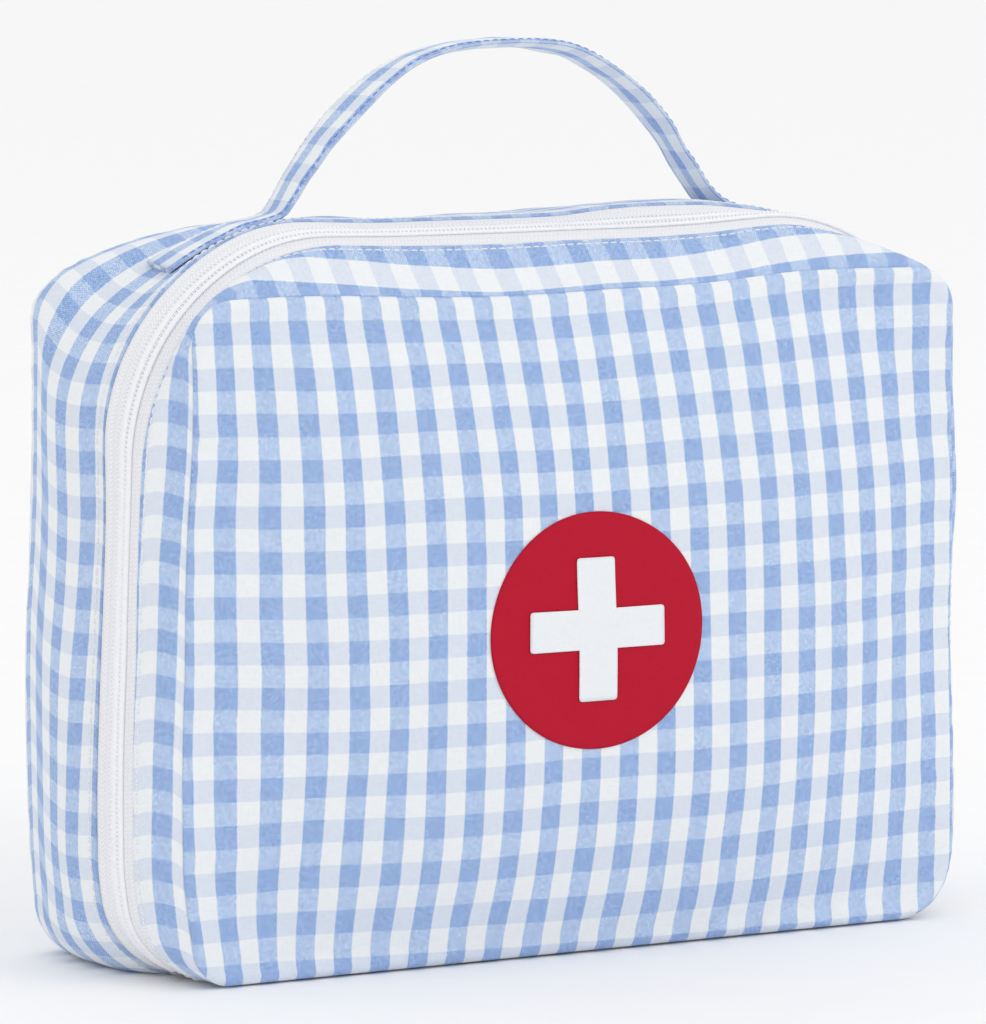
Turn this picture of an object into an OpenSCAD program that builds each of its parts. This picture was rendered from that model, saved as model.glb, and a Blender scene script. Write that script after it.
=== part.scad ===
// Soft zip-round toy doctor case: padded fabric shells, coil zip, strap handle.
// X to the right, Y to the back, Z up, millimetres. The case stands on z = 0.

/* [Panels] */
// Width of the front panel between its side seams
panel_w = 208; // [150:1:300]
// Height of the front panel between its seams
panel_h = 161; // [130:1:240]
// How far the front panel swells forward of its seam
front_crown = 14; // [4:0.5:20]
// How far the back panel swells behind its seam
back_crown = 8; // [2:0.5:16]
// Corner radius of the front seam at the top
panel_r = 11; // [10:1:24]
// Corner radius of the front seam at the bottom
seam_low_r = 12; // [12:1:24]
// How far the front panel sits to the right of the case's middle
panel_shift = 2; // [0:0.5:3]

/* [Gussets] */
// Outward spread of the front gusset at each side
side_spread = 7; // [5:0.5:14]
// Outward spread of the front gusset at the top
top_spread = 11; // [6:0.5:18]
// Depth from the front seam to the front edge of the zip opening
front_gusset_d = 9; // [6:0.5:16]
// Width of the zip that shows between the two gussets
zip_gap = 12.5; // [10:0.5:18]
// Outward rise of each side across the zip opening
zip_side_rise = 3.5; // [1:0.5:6]
// Rise of the top across the zip opening
zip_top_rise = 5.5; // [1:0.5:8]
// Depth of the rear gusset
rear_gusset_d = 43; // [34:1:80]
// How far the rear gusset swells outward at mid depth
side_swell = 3.5; // [1:0.5:6]
// How far the top of the rear gusset swells
top_swell = 0.5; // [0.5:0.5:4]
// How far the rear gusset draws in again at the back seam
back_draw = 1.5; // [0.5:0.5:6]
// Corner radius at the zip line
zip_r = 51; // [30:1:56]
// How far the top corners reach across the top at the back seam
back_corner_w = 60; // [30:1:70]
// How far the top corners reach down the sides at the back seam
back_corner_h = 22; // [18:1:40]
// How much further the corners reach across the slumped top at mid depth
slump_w = 19; // [0:1:24]
// How much further the corners reach down the slumped sides at mid depth
slump_h = 8; // [0:1:14]

/* [Layers] */
// Thickness of the outer fabric with its interlining
fabric_t = 0.8; // [0.5:0.1:1.2]
// Thickness of the foam
foam_t = 2.6; // [1.5:0.1:5]
// Thickness of the lining
lining_t = 0.5; // [0.4:0.1:1]
// Thickness of the binding over the inner seams
binding_t = 0.8; // [0.5:0.1:1.2]
// Width of the binding over the inner seams
binding_w = 4.5; // [3:0.5:6]
// Height of the lid's base above the surface that the case stands on
lid_lift = 0.6; // [0.4:0.1:1.5]
// Depth of the fold in the base that the lid hinges on
hinge_fold_d = 4.4; // [3:0.2:8]

/* [Zip] */
// Pitch of the coil
coil_pitch = 2; // [1.2:0.1:4]
// Width of one coil row
coil_w = 2.1; // [1.5:0.1:2.3]
// Thickness of the coil row
coil_t = 1.4; // [1:0.1:1.6]
// Height of each coil rib above the row
coil_rib = 0.4; // [0.2:0.05:0.6]
// Gap between the two coil rows
coil_gap = 0.3; // [0.2:0.05:0.6]
// Thickness of the zip tape
tape_t = 0.6; // [0.4:0.1:0.8]
// How far the tape runs on under each gusset
tape_lap = 3.5; // [2:0.5:4]
// Height of the parked slider above the lower corner
slider_rise = 10; // [8:1:24]
// Length of the slider
slider_l = 11; // [8:0.5:14]
// Thickness of the slider's plates
plate_t = 0.8; // [0.6:0.1:1]
// Length of the pull tab
pull_l = 19; // [14:1:26]
// Width of the pull tab
pull_w = 5.6; // [4.4:0.2:7]

/* [Handle] */
// Distance between the feet of the handle
handle_span = 122; // [90:1:150]
// Height of the handle's outer face above the case
handle_rise = 42; // [34:1:60]
// Width of the handle strap
strap_w = 19; // [14:0.5:24]
// Thickness of the handle strap
strap_t = 2.4; // [2:0.1:4]
// Thickness of the fabric that wraps the strap
strap_skin = 0.6; // [0.4:0.1:0.8]
// Length of each sewn strap end
strap_end_l = 38; // [24:1:44]
// Depth of the strap's middle behind the zip opening
handle_back = 18; // [13:0.5:30]
// Height of the free part that bends where the strap leaves the case
bend_h = 19; // [14:1:21]

/* [Emblem] */
// Diameter of the printed disc
disc_d = 58; // [40:1:90]
// Length of each bar of the cross
cross_l = 36; // [20:1:38]
// Width of each bar of the cross
cross_w = 10; // [5:0.5:14]
// Offset of the disc's middle to the right
disc_x = -1; // [-20:1:20]
// Height of the disc's middle above the base
disc_z = 80; // [60:1:110]
// Thickness of the print film
film_t = 0.3; // [0.2:0.1:0.6]

/* [Hidden] */

layer_gap = 0.1;
foam_in = fabric_t + layer_gap;
lining_in = foam_in + foam_t + layer_gap;
wall = lining_in + lining_t;
tape_in = fabric_t + layer_gap;
front_lining_in = tape_in + tape_t + layer_gap;

// depths, measured from the front seam
slider_w = 2 * (coil_w + 1.5);
slider_clear = 0.2;
chain_half = slider_w / 2 + slider_clear;
post_d = 1.6;
tape_edge = post_d / 2 + slider_clear;
zip_front_y = front_gusset_d;
zip_rear_y = front_gusset_d + zip_gap;
zip_mid_y = (zip_front_y + zip_rear_y) / 2;
back_seam_y = zip_rear_y + rear_gusset_d;
film_gap = 0.25;
front_proud = film_gap + 2 * film_t + layer_gap;
// the origin sits under the middle of the whole depth
origin_y = (back_seam_y + back_crown - front_crown - front_proud) / 2;
base_half = panel_w / 2 - seam_low_r;
panel_top = lid_lift + panel_h;

// the case's outline as piecewise straight profiles over the depth
bind_t0 = 1 - (wall + 2 * layer_gap + binding_w) / rear_gusset_d;
bind_t1 = 1 - (wall + layer_gap) / rear_gusset_d;
rear_rows = [0, (tape_lap + layer_gap / 2) / rear_gusset_d, 0.25, 0.5, bind_t0, bind_t1, 1];
front_t = 1 - (tape_lap + layer_gap / 2) / zip_front_y;
break_ys = concat([0, zip_front_y * front_t, zip_front_y, zip_mid_y - chain_half, zip_mid_y + chain_half],
    [for (t = rear_rows) zip_rear_y + rear_gusset_d * t]);
side_front = panel_w / 2 + side_spread;
side_rear = side_front + zip_side_rise;
top_front = panel_top + top_spread;
top_rear = top_front + zip_top_rise;
half_rows = concat([panel_w / 2, panel_w / 2 + side_spread * front_t, side_front,
        side_front + zip_side_rise / 2, side_front + zip_side_rise / 2],
    [for (t = rear_rows) side_rear - back_draw * t + side_swell * 4 * t * (1 - t)]);
top_rows = concat([panel_top, panel_top + top_spread * front_t, top_front,
        top_front + zip_top_rise / 2, top_front + zip_top_rise / 2],
    [for (t = rear_rows) top_rear - 2 * back_draw * t + top_swell * 4 * t * (1 - t)]);
// each top corner is a quarter of an ellipse, round in front of the rear gusset
front_corners = [panel_r, panel_r + (zip_r - panel_r) * front_t, zip_r, zip_r, zip_r];
corner_ts = [for (t = rear_rows) min(1, t / bind_t0)];
corner_w_rows = concat(front_corners,
    [for (t = corner_ts) zip_r + (back_corner_w - zip_r) * t + slump_w * 4 * t * (1 - t)]);
corner_h_rows = concat(front_corners,
    [for (t = corner_ts) zip_r + (back_corner_h - zip_r) * t + slump_h * 4 * t * (1 - t)]);
shift_rows = concat([panel_shift, panel_shift * (1 - front_t), 0, 0, 0], [for (t = rear_rows) 0]);
function row_table(vals) = [for (i = [0:len(break_ys) - 1]) [break_ys[i], vals[i]]];
function half_at(y) = lookup(y, row_table(half_rows));
function top_at(y) = lookup(y, row_table(top_rows));
function shift_at(y) = lookup(y, row_table(shift_rows));
function corner_w_at(y) = lookup(y, row_table(corner_w_rows));
function corner_h_at(y) = lookup(y, row_table(corner_h_rows));
function bottom_at(y) = y > zip_mid_y + chain_half + layer_gap ? 0 : lid_lift;
function rows_between(y0, y1) =
    concat([y0], [for (y = break_ys) if (y > y0 + 0.2 && y < y1 - 0.2) y], [y1]);

// one run round the case from the lower left corner over the top to the lower right one
arc_n = 6;
side_n = 3;
top_n = 4;
function arc_pts(cx, cz, rx, rz, a0, a1) =
    [for (i = [0:arc_n]) let (a = a0 + (a1 - a0) * i / arc_n) [cx + rx * cos(a), cz + rz * sin(a)]];
function between(p, q, n) = [for (i = [1:1:n - 1]) p + (q - p) * i / n];
function hoop_at(y, inset) =
    let (left = half_at(y) - shift_at(y) - inset, right = half_at(y) + shift_at(y) - inset,
         bottom = bottom_at(y) + inset, top = top_at(y) - inset,
         rl = left - base_half, rr = right - base_half,
         rx = corner_w_at(y) - inset, rz = corner_h_at(y) - inset,
         low_left = arc_pts(-base_half, bottom + rl, rl, rl, 270, 180),
         top_left = arc_pts(-left + rx, top - rz, rx, rz, 180, 90),
         top_right = arc_pts(right - rx, top - rz, rx, rz, 90, 0),
         low_right = arc_pts(base_half, bottom + rr, rr, rr, 0, -90))
    concat(low_left, between(low_left[arc_n], top_left[0], side_n),
           top_left, between(top_left[arc_n], top_right[0], top_n),
           top_right, between(top_right[arc_n], low_right[0], side_n), low_right);
function loop_at(y, inset) =
    let (pts = hoop_at(y, inset)) concat(pts, between(pts[len(pts) - 1], pts[0], top_n));

// faces of a skin between an outer and an inner grid of points
function turned(f, flip) = flip ? [f[2], f[1], f[0]] : f;
function grid_faces(rows, cols, wrap, shift, flip) =
    [for (r = [0:rows - 2], c = [0:(wrap ? cols - 1 : cols - 2)], k = [0, 1])
        let (a = shift + r * cols + c, b = shift + r * cols + (c + 1) % cols,
             d = a + cols, e = b + cols)
        turned(k == 0 ? [e, b, a] : [d, e, a], flip)];
function rim_faces(ids, shift, flip) =
    [for (i = [0:len(ids) - 2], k = [0, 1])
        let (a = ids[i], b = ids[i + 1])
        turned(k == 0 ? [b + shift, a + shift, a] : [b, b + shift, a], flip)];

module skin(outer, inner, depths, closed) {
    rows = len(depths);
    cols = len(outer[0]);
    count = rows * cols;
    pts = concat([for (r = [0:rows - 1], p = outer[r]) [p.x, depths[r], p.y]],
                 [for (r = [0:rows - 1], p = inner[r]) [p.x, depths[r], p.y]]);
    first = [for (c = [0:cols - 1]) c];
    across = closed ? concat(first, [0]) : first;
    down = closed ? [0] : [for (r = [0:rows - 1]) r * cols];
    polyhedron(pts, concat(
        grid_faces(rows, cols, closed, 0, false),
        grid_faces(rows, cols, closed, count, true),
        rim_faces(across, count, false),
        rim_faces([for (i = across) i + (rows - 1) * cols], count, true),
        rim_faces(down, count, true),
        rim_faces([for (i = down) i + cols - 1], count, false)));
}
module strip_skin(y0, y1, inset, thick) {
    depths = rows_between(y0, y1);
    skin([for (y = depths) hoop_at(y, inset)], [for (y = depths) hoop_at(y, inset + thick)],
        depths, false);
}
module ring_skin(y0, y1, inset, thick) {
    depths = rows_between(y0, y1);
    skin([for (y = depths) loop_at(y, inset)], [for (y = depths) loop_at(y, inset + thick)],
        depths, true);
}

// crowned panel: rings shrink towards the middle while the surface swells
crown_rings = 6;
function swell_at(x, z, half, high) = (1 - pow(x / half, 2)) * (1 - pow(z / high, 2));
function crown_sheet(seam_y, crown, inset, drop, half, mid, high, shares) =
    let (shift = shift_at(seam_y), base_y = seam_y - sign(crown) * drop)
    concat([for (s = shares, p = loop_at(base_y, inset))
            let (x = (p.x - shift) * s, z = (p.y - mid) * s,
                 bulge = crown * swell_at(x, z, half, high) * (1 - pow(s, 16)))
            [shift + x, base_y + bulge, mid + z]],
        [[shift, base_y + crown, mid]]);
module crowned_skin(seam_y, crown, inset, thick) {
    half = half_at(seam_y) - inset;
    low = bottom_at(seam_y) + inset;
    mid = (low + top_at(seam_y) - inset) / 2;
    high = mid - low;
    shares = [for (k = [0:crown_rings - 1]) 1 - pow(k / crown_rings, 1.3)];
    cols = len(loop_at(seam_y, inset));
    count = crown_rings * cols + 1;
    last = (crown_rings - 1) * cols;
    fan = [for (c = [0:cols - 1]) [count - 1, last + (c + 1) % cols, last + c]];
    rim = concat([for (c = [0:cols - 1]) c], [0]);
    faces = concat(
        grid_faces(crown_rings, cols, true, 0, false), fan,
        grid_faces(crown_rings, cols, true, count, true),
        [for (f = fan) turned([for (i = f) i + count], true)],
        rim_faces(rim, count, false));
    polyhedron(concat(
            crown_sheet(seam_y, crown, inset, inset, half, mid, high, shares),
            crown_sheet(seam_y, crown, inset, inset + thick, half, mid, high, shares)),
        [for (f = faces) turned(f, crown < 0)]);
}

// a point on the zip line: distance along it from the lower left, and depth into the case
zip_half = half_at(zip_mid_y);
zip_top = top_at(zip_mid_y);
low_r = zip_half - base_half;
low_arc = low_r * PI / 2;
side_run = zip_top - zip_r - lid_lift - low_r;
top_arc = zip_r * PI / 2;
top_run = 2 * (zip_half - zip_r);
function on_arc(cx, cz, r, a) = [cx + r * cos(a), cz + r * sin(a)];
function zip_pt(s, inset) =
    let (s1 = s - low_arc, s2 = s1 - side_run, s3 = s2 - top_arc, s4 = s3 - top_run, s5 = s4 - top_arc)
    s1 < 0 ? on_arc(-base_half, lid_lift + low_r, low_r - inset, 270 - 90 * s / low_arc)
    : s2 < 0 ? [-zip_half + inset, lid_lift + low_r + s1]
    : s3 < 0 ? on_arc(-zip_half + zip_r, zip_top - zip_r, zip_r - inset, 180 - 90 * s2 / top_arc)
    : s4 < 0 ? [-zip_half + zip_r + s3, zip_top - inset]
    : s5 < 0 ? on_arc(zip_half - zip_r, zip_top - zip_r, zip_r - inset, 90 - 90 * s4 / top_arc)
    : [zip_half - inset, zip_top - zip_r - s5];
slider_low = lid_lift + low_r + slider_rise;
slider_z = slider_low + slider_l / 2;
post_rise = 0.3;
post_clear = 0.5;
chain_start = low_arc * 0.25;
slider_s = low_arc + side_run + 2 * top_arc + top_run + zip_top - zip_r - slider_low;
chain_end = slider_s - post_rise - post_d - post_clear;
coil_seat = 0.05;
coil_in = tape_in - coil_seat - coil_t;

// Draws a flat outline of the X-Z plane, and gives it a depth from y0 to y1
module along_depth(y0, y1) {
    translate([0, y1, 0]) rotate([90, 0, 0]) linear_extrude(y1 - y0) children();
}

// one coil row: a ribbed band along the zip line, cut as a comb
module coil_row(y0, y1, phase) {
    count = floor((chain_end - chain_start) / coil_pitch) - 1;
    start = chain_start + phase * coil_pitch;
    comb = [for (i = [0:count - 1]) let (s = start + i * coil_pitch)
        each [zip_pt(s, coil_in + coil_rib), zip_pt(s + coil_pitch * 0.45, coil_in + coil_rib),
              zip_pt(s + coil_pitch * 0.55, coil_in), zip_pt(s + coil_pitch * 0.9, coil_in)]];
    back = [for (i = [count:-1:0]) zip_pt(start + i * coil_pitch, coil_in + coil_t)];
    along_depth(y0, y1) polygon(concat(comb, back));
}
module zip_block(s0, s1, y0, y1, inset, thick) {
    along_depth(y0, y1) polygon([zip_pt(s0, inset), zip_pt(s1, inset),
        zip_pt(s1, inset + thick), zip_pt(s0, inset + thick)]);
}

// everything is drawn with the front seam at y = 0 and then moved to the origin
module placed() {
    translate([0, -origin_y, 0]) children();
}

// ---- rear shell ----
module back_panel() {
    color("lightsteelblue") placed() crowned_skin(back_seam_y, back_crown, 0, fabric_t);
}
module back_panel_foam() {
    color("ivory") placed() crowned_skin(back_seam_y, back_crown, foam_in, foam_t);
}
module back_panel_lining() {
    color("white") placed() crowned_skin(back_seam_y, back_crown, lining_in, lining_t);
}
module rear_gusset() {
    color("lightsteelblue") placed() strip_skin(zip_rear_y, back_seam_y - foam_in, 0, fabric_t);
}
module rear_gusset_foam() {
    color("ivory") placed() strip_skin(zip_rear_y + tape_lap + layer_gap, back_seam_y - lining_in,
        foam_in, foam_t);
}
module rear_gusset_lining() {
    color("white") placed() strip_skin(zip_rear_y, back_seam_y - wall - layer_gap, lining_in, lining_t);
}
binding_in = wall + layer_gap;
module back_seam_binding() {
    back = back_seam_y - wall - 2 * layer_gap;
    color("white") placed() ring_skin(back - binding_w, back, binding_in, binding_t);
}
hinge_rear_y = zip_mid_y + hinge_fold_d / 2;
hinge_front_y = zip_mid_y - hinge_fold_d / 2;
base_gap = 0.1;
module base_plate(y0, y1, z, thick) {
    half = base_half - base_gap;
    translate([-half, y0, z]) cube([2 * half, y1 - y0, thick]);
}
module base_strip() {
    color("lightsteelblue") placed() base_plate(hinge_rear_y, back_seam_y - foam_in, 0, fabric_t);
}
module base_foam() {
    color("ivory") placed() base_plate(hinge_rear_y, back_seam_y - lining_in, foam_in, foam_t);
}
module base_lining() {
    color("white") placed()
        base_plate(hinge_rear_y, back_seam_y - wall - layer_gap, lining_in, lining_t);
}
module rear_zip_tape() {
    color("whitesmoke") placed()
        strip_skin(zip_mid_y + tape_edge, zip_rear_y + tape_lap, tape_in, tape_t);
}
module rear_zip_coil() {
    color("white") placed()
        coil_row(zip_mid_y + coil_gap / 2, zip_mid_y + coil_gap / 2 + coil_w, 0);
}
stop_l = 2.4;
stop_gap = 0.4;
stop_low = 0.1;
stop_reach = coil_gap / 2 + coil_w;
top_stop_s = slider_s + 1.5 * stop_gap;
module zip_stop(s, y0, y1) {
    zip_block(s, s + stop_l, y0, y1, coil_in + stop_low, coil_t - stop_low);
}
module rear_zip_stops() {
    color("silver") placed() {
        zip_stop(chain_start - stop_l - stop_gap, zip_mid_y - tape_edge + layer_gap,
            zip_mid_y + stop_reach);
        zip_stop(top_stop_s, zip_mid_y + coil_gap / 2, zip_mid_y + stop_reach);
    }
}

// ---- handle ----
handle_y = zip_rear_y + handle_back;
// height of the case's top at a distance x from its middle
function roof_at(x, y) =
    let (w = corner_w_at(y), h = corner_h_at(y), across = max(0, x - half_at(y) + w) / w)
    top_at(y) - h + h * sqrt(1 - pow(min(across, 0.95), 2));
end_y0 = handle_y - strap_w / 2;
end_y1 = handle_y + strap_w / 2;
handle_z = max([for (y = [end_y0, handle_y, end_y1]) roof_at(handle_span / 2, y)]);
strap_lift = 0.3;
// the arch is a circle through both feet and the top
arch_r = (pow(handle_span / 2, 2) + pow(handle_rise, 2)) / (2 * handle_rise);
arch_z = handle_z + handle_rise - arch_r;
bend_a = asin((handle_z + bend_h - arch_z) / arch_r);
module arch(r0, r1, w, a0, a1) {
    translate([0, handle_y, arch_z]) rotate([90, 0, 0]) rotate(a0)
        rotate_extrude(angle = a1 - a0, $fn = 180) translate([r0, -w / 2]) square([r1 - r0, w]);
}
joint_gap_a = 0.15;
module handle_strap() {
    color("lightsteelblue") placed() difference() {
        arch(arch_r - strap_t, arch_r, strap_w, bend_a, 180 - bend_a);
        arch(arch_r - strap_t + strap_skin, arch_r - strap_skin, strap_w - 2 * strap_skin,
            bend_a - 1, 181 - bend_a);
    }
}
module handle_core() {
    pad = 0.05;
    color("ivory") placed() arch(arch_r - strap_t + strap_skin + pad, arch_r - strap_skin - pad,
        strap_w - 2 * strap_skin - 2 * pad, bend_a, 180 - bend_a);
}
foot_rise_a = asin((handle_z - arch_z + strap_lift + strap_t / 2) / arch_r);
module handle_bend(a0) {
    color("lightsteelblue") placed()
        arch(arch_r - strap_t, arch_r, strap_w, a0, a0 + bend_a - foot_rise_a - joint_gap_a);
}
module handle_bend_right() {
    handle_bend(foot_rise_a);
}
module handle_bend_left() {
    handle_bend(180 - bend_a + joint_gap_a);
}
// the sewn end lies on the top of the rear gusset and follows its rounded corner
end_cols = 9;
function end_pt(t, y, lift) =
    let (x = handle_span / 2 + layer_gap + strap_end_l * t)
    [x, y, roof_at(x, y) + lift];
module handle_end() {
    depths = rows_between(end_y0, end_y1);
    rows = len(depths);
    count = rows * end_cols;
    ts = [for (i = [0:end_cols - 1]) i / (end_cols - 1)];
    pts = concat([for (y = depths, t = ts) end_pt(t, y, strap_lift + strap_t)],
                 [for (y = depths, t = ts) end_pt(t, y, strap_lift)]);
    first = [for (c = [0:end_cols - 1]) c];
    side = [for (r = [0:rows - 1]) r * end_cols];
    polyhedron(pts, concat(
        grid_faces(rows, end_cols, false, 0, false), grid_faces(rows, end_cols, false, count, true),
        rim_faces(first, count, false),
        rim_faces([for (i = first) i + (rows - 1) * end_cols], count, true),
        rim_faces(side, count, true),
        rim_faces([for (i = side) i + end_cols - 1], count, false)));
}
module handle_end_right() {
    color("lightsteelblue") placed() handle_end();
}
module handle_end_left() {
    color("lightsteelblue") placed() mirror([1, 0, 0]) handle_end();
}

// ---- base fold that the lid hinges on ----
module base_hinge_fold() {
    half = base_half - base_gap;
    front = hinge_front_y + base_gap;
    rear = hinge_rear_y - base_gap;
    color("lightsteelblue") placed() translate([-half, 0, 0]) rotate([90, 0, 90])
        linear_extrude(2 * half)
        polygon([[front, lid_lift], [rear, 0], [rear, fabric_t], [front, lid_lift + fabric_t]]);
}

// ---- lid ----
module front_panel() {
    color("lightsteelblue") placed() crowned_skin(0, -front_crown, 0, fabric_t);
}
module front_panel_foam() {
    color("ivory") placed() crowned_skin(0, -front_crown, foam_in, foam_t);
}
module front_panel_lining() {
    color("white") placed() crowned_skin(0, -front_crown, lining_in, lining_t);
}
module front_gusset() {
    color("lightsteelblue") placed() strip_skin(foam_in, zip_front_y, 0, fabric_t);
}
module front_gusset_lining() {
    color("white") placed() strip_skin(wall + layer_gap, zip_front_y, front_lining_in, lining_t);
}
module front_seam_binding() {
    front = wall + 2 * layer_gap;
    color("white") placed() ring_skin(front, front + binding_w,
        front_lining_in + lining_t + layer_gap, binding_t);
}
front_base_t = front_lining_in + lining_t;
module front_base_strip() {
    half = base_half - base_gap;
    step_y = wall + layer_gap;
    color("lightsteelblue") placed() translate([-half, 0, lid_lift]) rotate([90, 0, 90])
        linear_extrude(2 * half)
        polygon([[foam_in, 0], [hinge_front_y, 0], [hinge_front_y, front_base_t],
            [step_y, front_base_t], [step_y, fabric_t], [foam_in, fabric_t]]);
}
module front_zip_tape() {
    color("whitesmoke") placed()
        strip_skin(zip_front_y - tape_lap, zip_mid_y - tape_edge, tape_in, tape_t);
}
module front_zip_coil() {
    color("white") placed()
        coil_row(zip_mid_y - coil_gap / 2 - coil_w, zip_mid_y - coil_gap / 2, 0.5);
}
module front_zip_stop() {
    color("silver") placed()
        zip_stop(top_stop_s, zip_mid_y - stop_reach, zip_mid_y - coil_gap / 2);
}

// ---- printed emblem, a film that follows the crown of the front panel ----
film_cells = 10;
function crown_y(x, z) =
    let (mid = (lid_lift + panel_top) / 2)
    -front_crown * swell_at(x - panel_shift, z - mid, panel_w / 2, panel_h / 2);
module film(proud, size) {
    cols = film_cells + 1;
    count = cols * cols;
    steps = [for (i = [0:film_cells]) (i / film_cells - 0.5) * size];
    xs = [for (d = steps) disc_x + d];
    zs = [for (d = steps) disc_z + d];
    pts = concat([for (z = zs, x = xs) [x, crown_y(x, z) - proud - film_t, z]],
                 [for (z = zs, x = xs) [x, crown_y(x, z) - proud, z]]);
    first = [for (c = [0:film_cells]) c];
    side = [for (r = [0:film_cells]) r * cols];
    polyhedron(pts, concat(
        grid_faces(cols, cols, false, 0, true), grid_faces(cols, cols, false, count, false),
        rim_faces(first, count, true),
        rim_faces([for (i = first) i + film_cells * cols], count, false),
        rim_faces(side, count, false),
        rim_faces([for (i = side) i + film_cells], count, true)));
}
module emblem_disc() {
    color("crimson") placed() intersection() {
        film(film_gap, disc_d + 4);
        translate([disc_x, 0, disc_z]) rotate([90, 0, 0])
            cylinder(d = disc_d, h = 4 * front_crown, $fn = 96);
    }
}
module bar(long, wide) {
    r = 1;
    square([long, wide - 2 * r], center = true);
    square([long - 2 * r, wide], center = true);
    for (x = [-1, 1], y = [-1, 1])
        translate([x * (long / 2 - r), y * (wide / 2 - r)]) circle(r, $fn = 24);
}
module emblem_cross() {
    color("white") placed() intersection() {
        film(film_gap + film_t + layer_gap, cross_l + 4);
        translate([disc_x, 0, disc_z]) rotate([90, 0, 0]) linear_extrude(4 * front_crown) {
            bar(cross_l, cross_w);
            rotate(90) bar(cross_l, cross_w);
        }
    }
}

// ---- slider on the right side, drawn about its own middle: x outward, y across, z up ----
plate_gap = 0.25;
outer_x = plate_gap - coil_in;
inner_x = -tape_in - tape_t - plate_gap;
lip_x = -tape_in + 0.2;
bar_r = 0.5;
bar_gap = 0.15;
bridge_w = 1.6;
bridge_t = 0.65;
bridge_in = 2.4;
tab_t = 0.9;
pivot_x = outer_x + plate_t + bar_gap + bar_r;
pivot_z = slider_l * 0.15;
sink = 0.1;
bridge_high = sink + 2 * (bar_gap + bar_r);
module slider_place() {
    placed() translate([zip_half, zip_mid_y, slider_z]) children();
}
// outline of a plate: round shoulders at the mouths, drawn in at the closed end
module plate_outline() {
    r = 1.6;
    low = -slider_l / 2;
    union() {
        translate([0, low + slider_l * 0.32]) square([slider_w, slider_l * 0.44], center = true);
        translate([0, low + r]) square([slider_w - 2 * r, 2 * r], center = true);
        for (x = [-1, 1])
            translate([x * (slider_w / 2 - r), low + r]) circle(r, $fn = 32);
        polygon([[-slider_w / 2, low + slider_l * 0.54], [slider_w / 2, low + slider_l * 0.54],
            [slider_w / 2 - 1, slider_l / 2], [-slider_w / 2 + 1, slider_l / 2]]);
    }
}
module plate(x, thick) {
    translate([x, 0, 0]) rotate([90, 0, 90]) linear_extrude(thick) plate_outline();
}
module slider_body() {
    half = slider_l / 2;
    flange_t = 0.8;
    color("white") slider_place() {
        plate(outer_x, plate_t);
        plate(inner_x - plate_t, plate_t);
        // post between the two mouths
        translate([inner_x - sink, 0, -half + post_d / 2 + post_rise]) rotate([0, 90, 0])
            cylinder(d = post_d, h = outer_x - inner_x + 2 * sink, $fn = 32);
        // flanges that hold the rows in
        for (side = [-1, 1])
            translate([lip_x, side * (slider_w / 2 - flange_t / 2) - flange_t / 2, -half + 1.8])
                cube([outer_x - lip_x + sink, flange_t, slider_l * 0.62]);
        // bridge that the pull tab's bar turns under
        translate([outer_x + plate_t - sink, -bridge_w / 2, pivot_z - bridge_in / 2 - bridge_t])
            difference() {
                cube([bridge_high + bridge_t, bridge_w, bridge_in + 2 * bridge_t]);
                translate([-sink, -sink, bridge_t])
                    cube([bridge_high + sink, bridge_w + 2 * sink, bridge_in]);
            }
    }
}
module pull_tab() {
    eye_w = bridge_w + 0.8;
    eye_l = bridge_in / 2 + bridge_t + 0.5;
    neck_w = min(pull_w, eye_w + 2);
    color("white") slider_place() translate([pivot_x, 0, pivot_z]) {
        rotate([90, 0, 0]) cylinder(r = bar_r, h = neck_w, center = true, $fn = 32);
        difference() {
            translate([-tab_t / 2, -neck_w / 2, -eye_l - 2]) cube([tab_t, neck_w, eye_l + 2]);
            translate([-tab_t, -eye_w / 2, -eye_l]) cube([2 * tab_t, eye_w, eye_l + 1]);
        }
        translate([-tab_t / 2, -pull_w / 2, pull_w / 2 - pull_l])
            cube([tab_t, pull_w, pull_l - pull_w / 2 - eye_l - 1]);
        translate([-tab_t / 2, 0, pull_w / 2 - pull_l]) rotate([0, 90, 0])
            cylinder(d = pull_w, h = tab_t, $fn = 48);
    }
}

back_panel();
back_panel_foam();
back_panel_lining();
back_seam_binding();
rear_gusset();
rear_gusset_foam();
rear_gusset_lining();
base_strip();
base_foam();
base_lining();
rear_zip_tape();
rear_zip_coil();
rear_zip_stops();
handle_end_left();
handle_end_right();
handle_bend_left();
handle_bend_right();
base_hinge_fold();
front_panel();
front_panel_foam();
front_panel_lining();
front_seam_binding();
front_gusset();
front_gusset_lining();
front_base_strip();
front_zip_tape();
front_zip_coil();
front_zip_stop();
emblem_disc();
emblem_cross();
handle_strap();
handle_core();
slider_body();
pull_tab();
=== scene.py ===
# Soft zip-round toy case in pale blue gingham. Lengths are in mm until a mesh is made.
import math

import bpy
import numpy as np
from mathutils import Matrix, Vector
from mathutils.kdtree import KDTree


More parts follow.
